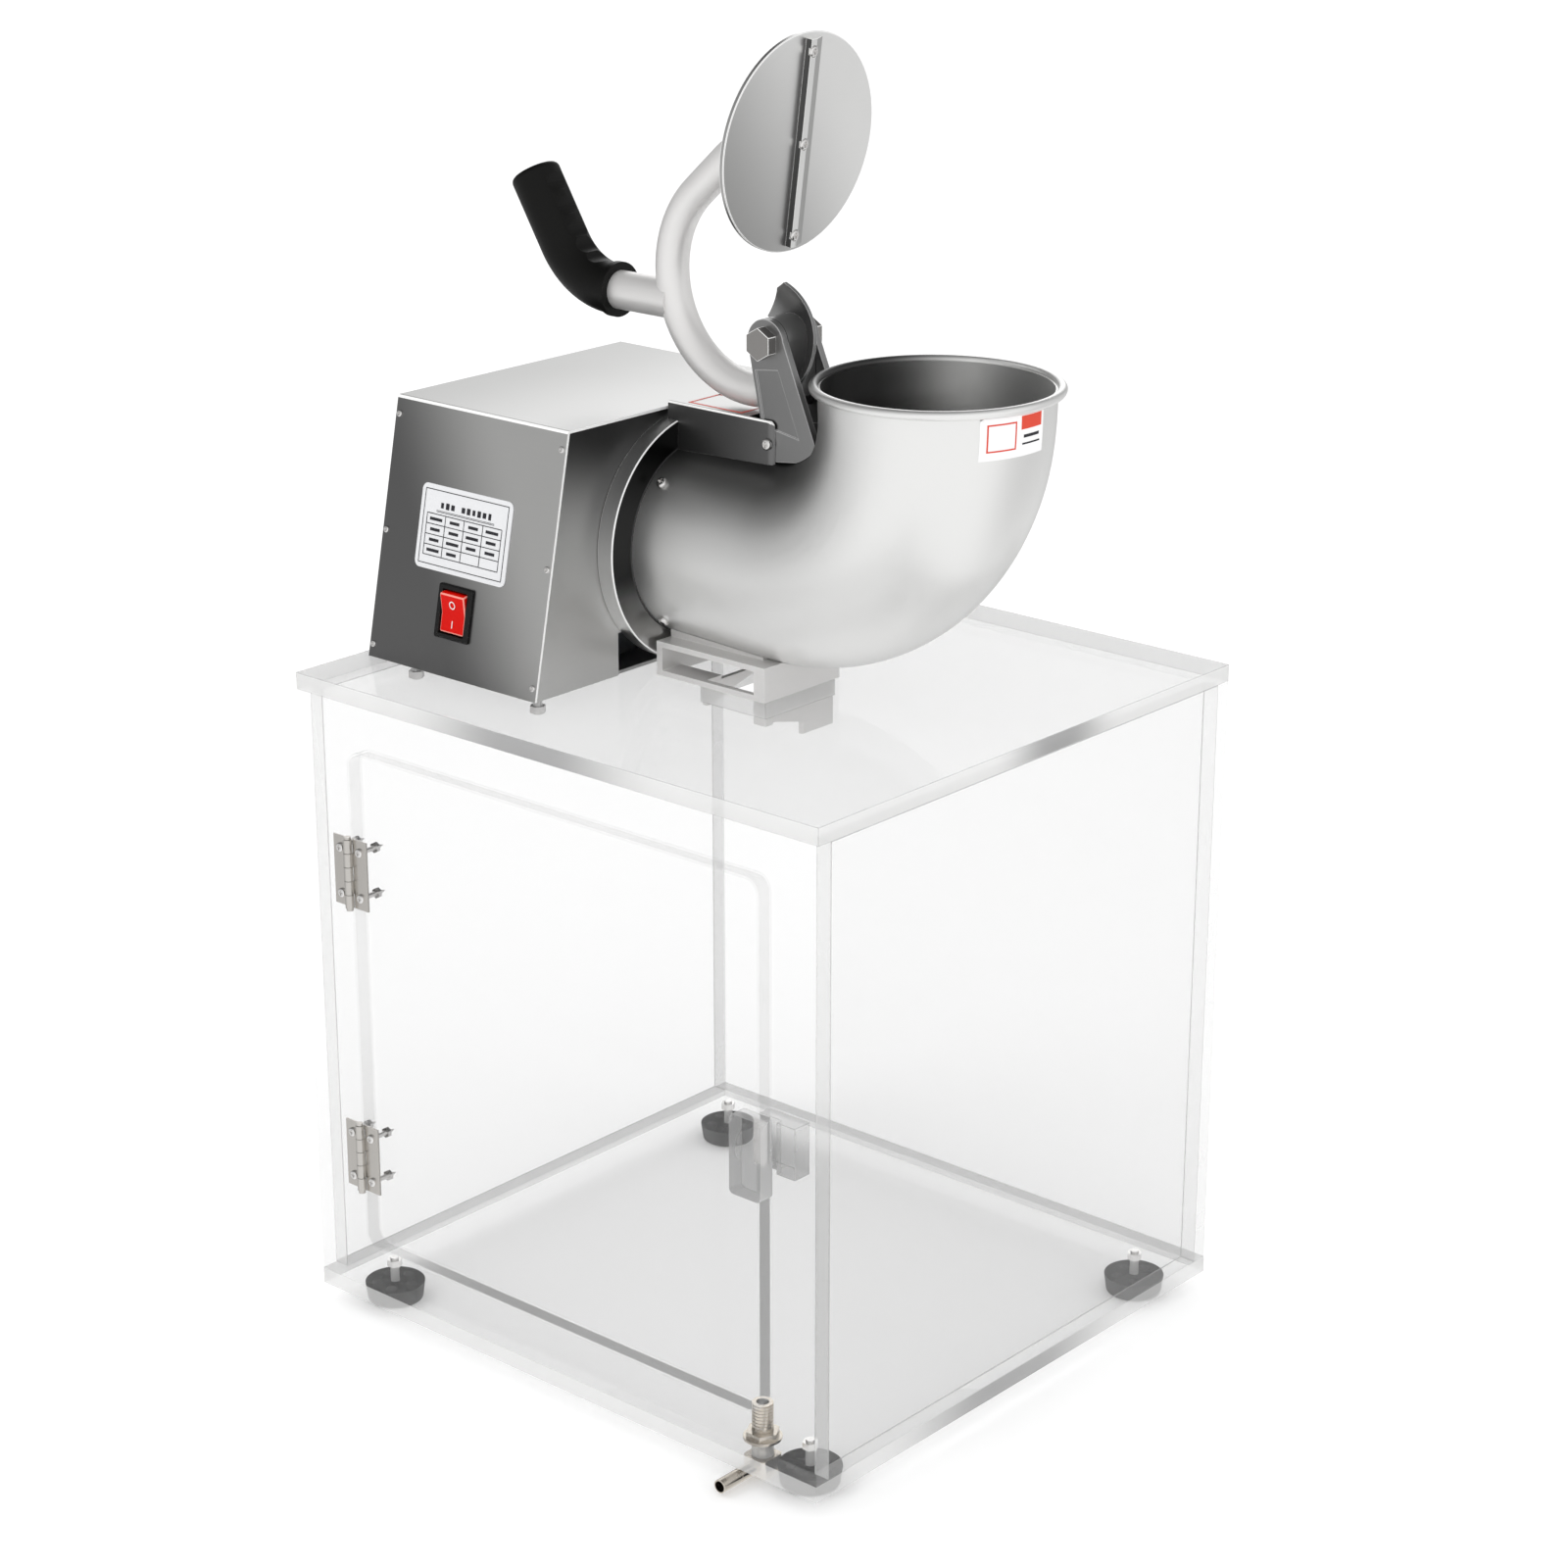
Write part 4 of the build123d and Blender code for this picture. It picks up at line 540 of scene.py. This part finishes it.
# the sheets' eased corners
cornerLines = {
    "acrylicEdge": {"tone": (0.44, 0.44, 0.4356), "worn": (0.62, 0.62, 0.615), "veil": 0.62},
    "acrylicSoftEdge": {"tone": (0.66, 0.66, 0.6534), "worn": (0.84, 0.84, 0.835), "veil": 0.16},
}
for name, line in cornerLines.items():
    made[name] = mouldedMaterial(name, {**line, "wear": 1.0, "roughness": 0.2, "bump": 0.0})
    made[name].node_tree.nodes["Principled BSDF"].inputs["Alpha"].default_value = line["veil"]
for name, stock in stocks.items():
    made[name] = acrylicMaterial(name, stock)
print("materials are made:", len(made))

finishes = {
    "acrylicTop": ["top_panel"],
    "acrylicFloor": ["floor_panel"],
    "acrylicX": ["left_panel", "right_panel"],
    "acrylicY": ["back_panel", "door_handle", "catch_magnet"],
    "acrylicDoor": ["front_frame", "door_panel"],
    "footRubber": ["rubber_feet"],
    "brightSteel": ["foot_fasteners", "hinge_frame_fasteners", "hinge_door_fasteners", "casing_screws",
                    "hold_down_fasteners", "drum_bolts", "housing_screws", "plate_screws", "disc_nut",
                    "catch_strike"],
    "boltSteel": ["pivot_bolt"],
    "hingeSteel": ["hinge_frame_leaves", "hinge_door_leaves", "hinge_pins"],
    "drainMetal": ["drain_fitting", "drain_nut", "drain_pipe"],
    "casingSteel": ["casing_cover", "base_plate"],
    "wallSteel": ["casing_right_wall", "casing_left_wall"],
    "hopperSteel": ["elbow_hopper"],
    "flangeSteel": ["drum_housing"],
    "saddleSteel": ["saddle_cover"],
    "forkCast": ["fork_bracket", "lever_hub", "hub_guard"],
    "chuteAlloy": ["chute_frame"],
    "leverSilver": ["bow_tube", "handle_tube"],
    "plateSteel": ["press_plate"],
    "ribPaintedLight": ["plate_rib"],
    "gripRubber": ["grip"],
    "switchBlack": ["switch_bezel"],
    "switchRed": ["rocker"],
    "plateWhite": ["rating_plate"],
    "motorSteel": ["motor_stator", "rotor_core", "motor_cradle"],
    "bellAlloy": ["motor_front_bell", "motor_rear_bell", "blade_disc"],
    "bladeSteel": ["motor_shaft", "motor_bearings", "shaving_blades"],
    "innerPlastic": ["run_capacitor", "shaft_seal", "cooling_fan", "cord_gland"],
}
nodeFinish = {}
for finishName, nodeNames in finishes.items():
    for nodeName in nodeNames:
        nodeFinish[nodeName] = finishName
        nodes[nodeName].data.materials.clear()
        nodes[nodeName].data.materials.append(made[finishName])
print("finishes are on the solids")


bodyOf = {name: node["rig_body"] for name, node in nodes.items()}


def only(piece):
    # nothing else stays selected
    bpy.ops.object.select_all(action="DESELECT")
    piece.select_set(True)
    bpy.context.view_layer.objects.active = piece


def applied(piece, kind, settings):
    # add one modifier and apply it
    modifier = piece.modifiers.new(kind.lower(), kind)
    for key, value in settings.items():
        setattr(modifier, key, value)
    only(piece)
    bpy.ops.object.modifier_apply(modifier=modifier.name)


def dress(piece, *finishNames):
    # the finishes, first the main one, then those that single faces use
    piece.data.materials.clear()
    for finishName in finishNames:
        piece.data.materials.append(made[finishName])


def settle(piece, name, body, fold=30):
    # name and place a finished piece, with its place in its mesh and its flats kept flat
    only(piece)
    piece.name = name
    piece.data.name = name
    bpy.ops.object.transform_apply(location=True, rotation=True, scale=True)
    bpy.ops.object.shade_smooth_by_angle(angle=math.radians(fold))
    applied(piece, "WEIGHTED_NORMAL", {"keep_sharp": True, "weight": 100})
    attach(piece, body)
    return piece


doubles = 0.000004


def mergedCopy(nodeName, flatten=0.2):
    # a solid's mesh with its doubles merged and its flat faces, within some degrees, whole again
    piece = bpy.data.objects.new(nodeName + "_soft", nodes[nodeName].data.copy())
    scene.collection.objects.link(piece)
    only(piece)
    bpy.ops.mesh.customdata_custom_splitnormals_clear()
    bpy.ops.object.mode_set(mode="EDIT")
    bpy.ops.mesh.select_all(action="SELECT")
    bpy.ops.mesh.remove_doubles(threshold=doubles)
    bpy.ops.mesh.dissolve_limited(angle_limit=math.radians(flatten))
    bpy.ops.object.mode_set(mode="OBJECT")
    return piece


# solids whose sawn, folded or cast edges are eased: the width in metres, the edge's own finish, on most
# metals and the rocker a painted glint, the axis whose rounded folds take it too, finishes for the faces
# that look along a direction, copies that paint light and shade by the way a face looks, and whether the
# width is held back where edges are short
eased = {
    "floor_panel": {"width": 0.0005, "edge": "acrylicEdge"},
    "top_panel": {"width": 0.0005, "edge": "acrylicEdge"},
    "left_panel": {"width": 0.0005, "edge": "acrylicEdge"},
    "right_panel": {"width": 0.0005, "edge": "acrylicEdge"},
    "back_panel": {"width": 0.0005, "edge": "acrylicSoftEdge"},
    "front_frame": {"width": 0.0005, "edge": "acrylicSoftEdge"},
    "door_panel": {"width": 0.0005, "edge": "acrylicSoftEdge"},
    "door_handle": {"width": 0.0005, "edge": "acrylicEdge"},
    "catch_magnet": {"width": 0.0004, "edge": "acrylicEdge"},
    "casing_cover": {"width": 0.0004, "edge": "paintedGlint", "folds": 2,
                     "faces": [((0, 0, 1), "casingTopPaintedLight"), ((1, 0, 0), "paintedGlint")]},
    "casing_right_wall": {"width": 0.0003},
    "base_plate": {"width": 0.0003},
    "drum_housing": {"width": 0.0006, "edge": "paintedGlint", "folds": 0,
                     "faces": [((1, 0, 0), "flangeFacePaintedShade")]},
    "saddle_cover": {"width": 0.0004, "edge": "paintedGlint", "folds": 2,
                     "faces": [((0, 0, 1), "casingTopPaintedLight")]},
    "fork_bracket": {"width": 0.0004, "edge": "castPaintedGlint", "folds": 1, "clamp": False},
    "chute_frame": {"width": 0.0004, "edge": "paintedGlint"},
    "press_plate": {"width": 0.0005, "edge": "paintedGlint"},
    "plate_rib": {"width": 0.0004, "edge": "paintedGlint",
                  "faces": [((0, -1, 0), "ribShade"), ((0.9, 0.4, -0.1), "ribSlopePaintedShade")]},
    "pivot_bolt": {"width": 0.0005, "edge": "paintedGlint"},
    "lever_hub": {"width": 0.0005},
    "hub_guard": {"width": 0.0005, "edge": "paintedGlint"},
    "switch_bezel": {"width": 0.0005},
    "rocker": {"width": 0.0007, "edge": "switchPaintedGlint"},
    "rating_plate": {"width": 0.0002},
    "hinge_frame_leaves": {"width": 0.00025},
    "hinge_door_leaves": {"width": 0.00025},
    "drain_nut": {"width": 0.0004},
    "drain_pipe": {"width": 0.0002},
    "rubber_feet": {"width": 0.0006},
}
# a folded face's least and most turn, how square to a direction a face looks, and the bevel
easing = {"least": 0.25, "most": 0.93, "square": 0.97, "sharp": 38, "segments": 2}
softPieces = {}
for nodeName, ease in eased.items():
    soft = mergedCopy(nodeName)
    mainFinish = nodeFinish[nodeName]
    looks = ease.get("faces", [])
    dress(soft, mainFinish, ease.get("edge", mainFinish), *[finishName for direction, finishName in looks])
    # faces on a rounded fold take the edge's painted glint; faces that look along a listed direction take
    # that direction's copy, painted light or painted shade
    for face in soft.data.polygons:
        slot = 0
        if "folds" in ease and easing["least"] < abs(face.normal[ease["folds"]]) < easing["most"]:
            slot = 1
        for index, (direction, finishName) in enumerate(looks):
            if face.normal.dot(Vector(direction).normalized()) > easing["square"]:
                slot = index + 2
        face.material_index = slot
    applied(soft, "BEVEL", {
        "width": ease["width"], "segments": easing["segments"], "limit_method": "ANGLE",
        "angle_limit": math.radians(easing["sharp"]), "material": 1,
        "use_clamp_overlap": ease.get("clamp", True),
    })
    softPieces[nodeName] = settle(soft, nodeName + "_soft", bodyOf[nodeName])
    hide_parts(nodeName)
print("edges are eased:", len(eased))

for nodeName in ("elbow_hopper", "bow_tube", "handle_tube", "grip"):
    smooth = mergedCopy(nodeName, flatten=0.05)
    dress(smooth, nodeFinish[nodeName])
    softPieces[nodeName] = settle(smooth, nodeName + "_smooth", bodyOf[nodeName], fold=35)
    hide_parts(nodeName)
print("round solids are smooth")


# the casing's leaning front: an origin at the switch column's foot, with X across and Y up the slope
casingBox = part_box("casing_cover")
front = {"lean": 0.0305, "tall": 0.148, "column": 0.065}
frontRun = math.hypot(front["lean"], front["tall"])
frontUp = Vector((0, front["lean"] / frontRun, front["tall"] / frontRun))
frontOut = Vector((0, -front["tall"] / frontRun, front["lean"] / frontRun))
frontFoot = Vector((casingBox[0][0] + front["column"], casingBox[0][1], casingBox[0][2]))


def frameOf(origin, across, up):
    # a placing matrix from an origin, a local X and a local Y
    x = Vector(across).normalized()
    y = Vector(up).normalized()
    z = x.cross(y)
    return Matrix((
        (x.x, y.x, z.x, origin[0]),
        (x.y, y.y, z.y, origin[1]),
        (x.z, y.z, z.z, origin[2]),
        (0, 0, 0, 1),
    ))


inkDepth = 0.00008


def printedBars(name, place, bars, finish, body):
    # flat printed bars on a plane, each its centre, width and height: one bar is made and copied
    bpy.ops.object.select_all(action="DESELECT")
    bpy.ops.mesh.primitive_cube_add(size=1)
    firstBar = bpy.context.object
    parts = [firstBar]
    for _ in bars[1:]:
        copied = firstBar.copy()
        copied.data = firstBar.data.copy()
        scene.collection.objects.link(copied)
        parts.append(copied)
    for part, (across, up, width, height) in zip(parts, bars):
        sized = Matrix.Diagonal((width, height, inkDepth, 1))
        part.matrix_world = place @ Matrix.Translation((across, up, 0)) @ sized
        part.select_set(True)
    bpy.context.view_layer.objects.active = firstBar
    bpy.ops.object.join()
    joined = bpy.context.object
    dress(joined, finish)
    settle(joined, name, body)


# the rating plate's blank table: a border, a row of title blocks, rules and short field bars
table = {
    "rise": 0.082, "proud": 0.00088, "line": 0.00046,
    "border": (0.0660, 0.0420), "columns": (-0.0300, -0.0152, -0.0003, 0.0146, 0.0295),
    "rows": (0.0075, 0.0016, -0.0043, -0.0102, -0.0161),
    "rules": (0.0097, 0.0090), "ruled": 0.046, "ruleLine": 0.000276,
    "field": (0.0098, 0.0017), "shortField": 0.78,
}
title = {"start": -0.0188, "level": 0.0130, "pitch": 0.0042, "blocks": 10, "gap": 3,
         "wide": 0.0027, "narrow": 0.00216, "tall": 0.0036, "short": 0.003096}
ink = []
for i in range(title["blocks"]):
    if i != title["gap"]:
        width = title["wide"] if i % 3 else title["narrow"]
        height = title["tall"] if i % 2 else title["short"]
        ink.append((title["start"] + title["pitch"] * i, title["level"], width, height))
for level in table["rules"]:
    ink.append((0, level, table["ruled"], table["ruleLine"]))
wide, tall = table["border"]
for side in (-1, 1):
    ink.append((0, side * tall / 2, wide, table["line"]))
    ink.append((side * wide / 2, 0, table["line"], tall))
columns, rows = table["columns"], table["rows"]
for level in rows:
    ink.append(((columns[0] + columns[-1]) / 2, level, columns[-1] - columns[0], table["line"]))
for column in columns:
    ink.append((column, (rows[0] + rows[-1]) / 2, table["line"], rows[0] - rows[-1]))
lastRow = len(rows) - 2
for i in range(lastRow + 1):
    for j in range(len(columns) - 1):
        if i == lastRow and j > 1:
            continue  # the last row ends in two open cells
        share = table["shortField"] if (i + j) % 3 else 1.0
        centre = (columns[j] + columns[j + 1]) / 2, (rows[i] + rows[i + 1]) / 2
        ink.append((*centre, table["field"][0] * share, table["field"][1]))
tableFoot = frontFoot + frontUp * table["rise"] + frontOut * table["proud"]
printedBars("plate_print", frameOf(tableFoot, (1, 0, 0), frontUp), ink, "printInk", "root")
print("rating plate is ruled")

# painted shade: a dark ring in the joint where the hopper meets the drum's flange, pressed down flat
# against it
jointShade = {"flange": 0.0116, "radius": 0.0560, "thick": 0.0006, "pressed": 0.6}
drumLow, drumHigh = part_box("drum_housing")
drumMiddle = (drumLow + drumHigh) / 2
jointShadeCentre = Vector((casingBox[1].x + jointShade["flange"], drumMiddle.y, drumMiddle.z))
bpy.ops.object.select_all(action="DESELECT")
bpy.ops.mesh.primitive_torus_add(
    location=jointShadeCentre, rotation=(0, math.radians(90), 0), major_segments=96, minor_segments=8,
    major_radius=jointShade["radius"], minor_radius=jointShade["thick"])
jointShadeRing = bpy.context.object
bpy.ops.object.transform_apply(location=True, rotation=True, scale=True)
bpy.ops.object.mode_set(mode="EDIT")
bpy.ops.mesh.select_all(action="SELECT")
bpy.ops.transform.resize(value=(jointShade["pressed"], 1, 1), center_override=jointShadeCentre)
bpy.ops.object.mode_set(mode="OBJECT")
dress(jointShadeRing, "innerPlastic")
settle(jointShadeRing, "hopper_joint_shade", "root", fold=60)
print("hopper is sealed")


def wrapped(piece, target, lift, thickness):
    # press a flat print onto a surface along its own -Z and give it a film's thickness
    applied(piece, "SHRINKWRAP", {
        "target": target, "wrap_method": "PROJECT", "use_project_z": True, "use_positive_direction": False,
        "use_negative_direction": True, "offset": lift,
    })
    applied(piece, "SOLIDIFY", {"thickness": thickness, "offset": 1.0})


# the rocker's two marks
marks = {"ringRise": 0.0415, "barRise": 0.0305, "ring": 0.0023, "stroke": 0.0006, "bar": 0.0042,
         "off": 0.012, "lift": 0.0003, "film": 0.00006}
markPlace = frameOf(frontFoot + frontUp * marks["ringRise"] + frontOut * marks["off"], (1, 0, 0), frontUp)
bpy.ops.object.select_all(action="DESELECT")
bpy.ops.mesh.primitive_circle_add(vertices=28, radius=marks["ring"], fill_type="NGON")
ring = bpy.context.object
bpy.ops.object.mode_set(mode="EDIT")
bpy.ops.mesh.select_all(action="SELECT")
bpy.ops.mesh.inset(thickness=marks["stroke"])
bpy.ops.mesh.delete(type="FACE")
bpy.ops.object.mode_set(mode="OBJECT")
ring.matrix_world = markPlace
dress(ring, "paperWhite")
wrapped(ring, softPieces["rocker"], marks["lift"], marks["film"])
settle(ring, "rocker_ring", bodyOf["rocker"])

barPlace = frameOf(frontFoot + frontUp * marks["barRise"] + frontOut * marks["off"], (1, 0, 0), frontUp)
bpy.ops.object.select_all(action="DESELECT")
bpy.ops.mesh.primitive_grid_add(x_subdivisions=1, y_subdivisions=4, size=1)
stroke = bpy.context.object
stroke.matrix_world = barPlace @ Matrix.Diagonal((marks["stroke"], marks["bar"], 1, 1))
dress(stroke, "paperWhite")
wrapped(stroke, softPieces["rocker"], marks["lift"], marks["film"])
settle(stroke, "rocker_bar", bodyOf["rocker"])
print("rocker is marked")

# a plain film label below the hopper's lip; each print on it has its finish, its size and its shift as
# shares of the film's, and how finely it is cut to follow the hopper
label = {"turn": -12, "size": (0.043, 0.0235), "below": 0.0165, "radius": 0.0664, "off": 0.03,
         "film": 0.00008, "lift": 0.00008, "printLift": 0.00017}
labelPrints = {
    "head": {"finish": "signalRed", "size": (0.37, 0.32), "shift": (0.27, 0.27), "cells": (22, 12)},
    "line_a": {"finish": "printInk", "size": (0.28, 0.07), "shift": (0.27, -0.05), "cells": (10, 2)},
    "line_b": {"finish": "printInk", "size": (0.32, 0.04), "shift": (0.27, -0.22), "cells": (10, 2)},
    "top": {"finish": "signalRed", "size": (0.42, 0.035), "shift": (-0.20, 0.30), "cells": (8, 8)},
    "low": {"finish": "signalRed", "size": (0.42, 0.035), "shift": (-0.20, -0.30), "cells": (8, 8)},
    "left": {"finish": "signalRed", "size": (0.02, 0.60), "shift": (-0.40, 0.0), "cells": (8, 8)},
    "right": {"finish": "signalRed", "size": (0.02, 0.60), "shift": (0.0, 0.0), "cells": (8, 8)},
}
hopperLow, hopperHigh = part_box("elbow_hopper")
labelTurn = math.radians(label["turn"])
labelOut = Vector((math.cos(labelTurn), math.sin(labelTurn), 0))
labelAcross = Vector((-labelOut.y, labelOut.x, 0))
labelLevel = Vector((hopperHigh.x - label["radius"], (hopperLow.y + hopperHigh.y) / 2,
                     hopperHigh.z - label["below"]))
labelPlace = frameOf(labelLevel + labelOut * (label["radius"] + label["off"]), labelAcross, (0, 0, 1))


def labelFilm(name, size, shift, finish, lift, cells):
    # a thin printed film, shifted within the label and pressed onto the hopper
    bpy.ops.object.select_all(action="DESELECT")
    bpy.ops.mesh.primitive_grid_add(x_subdivisions=cells[0], y_subdivisions=cells[1], size=1)
    sheetPiece = bpy.context.object
    sheetPiece.matrix_world = labelPlace @ Matrix.Translation((*shift, 0)) @ Matrix.Diagonal((*size, 1, 1))
    dress(sheetPiece, finish)
    wrapped(sheetPiece, softPieces["elbow_hopper"], lift, label["film"])
    settle(sheetPiece, name, "root")


wide, tall = label["size"]
labelFilm("hopper_label", label["size"], (0, 0), "paperWhite", label["lift"], (22, 12))
for part, look in labelPrints.items():
    size = (wide * look["size"][0], tall * look["size"][1])
    shift = (wide * look["shift"][0], tall * look["shift"][1])
    labelFilm("hopper_label_" + part, size, shift, look["finish"], label["printLift"], look["cells"])

# an open printed frame on the saddle
badge = {"start": 0.0115, "size": (0.040, 0.026), "line": 0.0016, "lift": 0.00005}
saddleLow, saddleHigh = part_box("saddle_cover")
badgeCentre = Vector((saddleLow.x + badge["start"] + badge["size"][0] / 2,
                      (saddleLow.y + saddleHigh.y) / 2, saddleHigh.z + badge["lift"]))
wide, tall = badge["size"]
frameBars = []
for side in (-1, 1):
    frameBars.append((0, side * (tall - badge["line"]) / 2, wide, badge["line"]))
    frameBars.append((side * (wide - badge["line"]) / 2, 0, badge["line"], tall))
printedBars("saddle_frame", frameOf(badgeCentre, (1, 0, 0), (0, 1, 0)), frameBars, "signalRed", "root")
print("film labels are on")
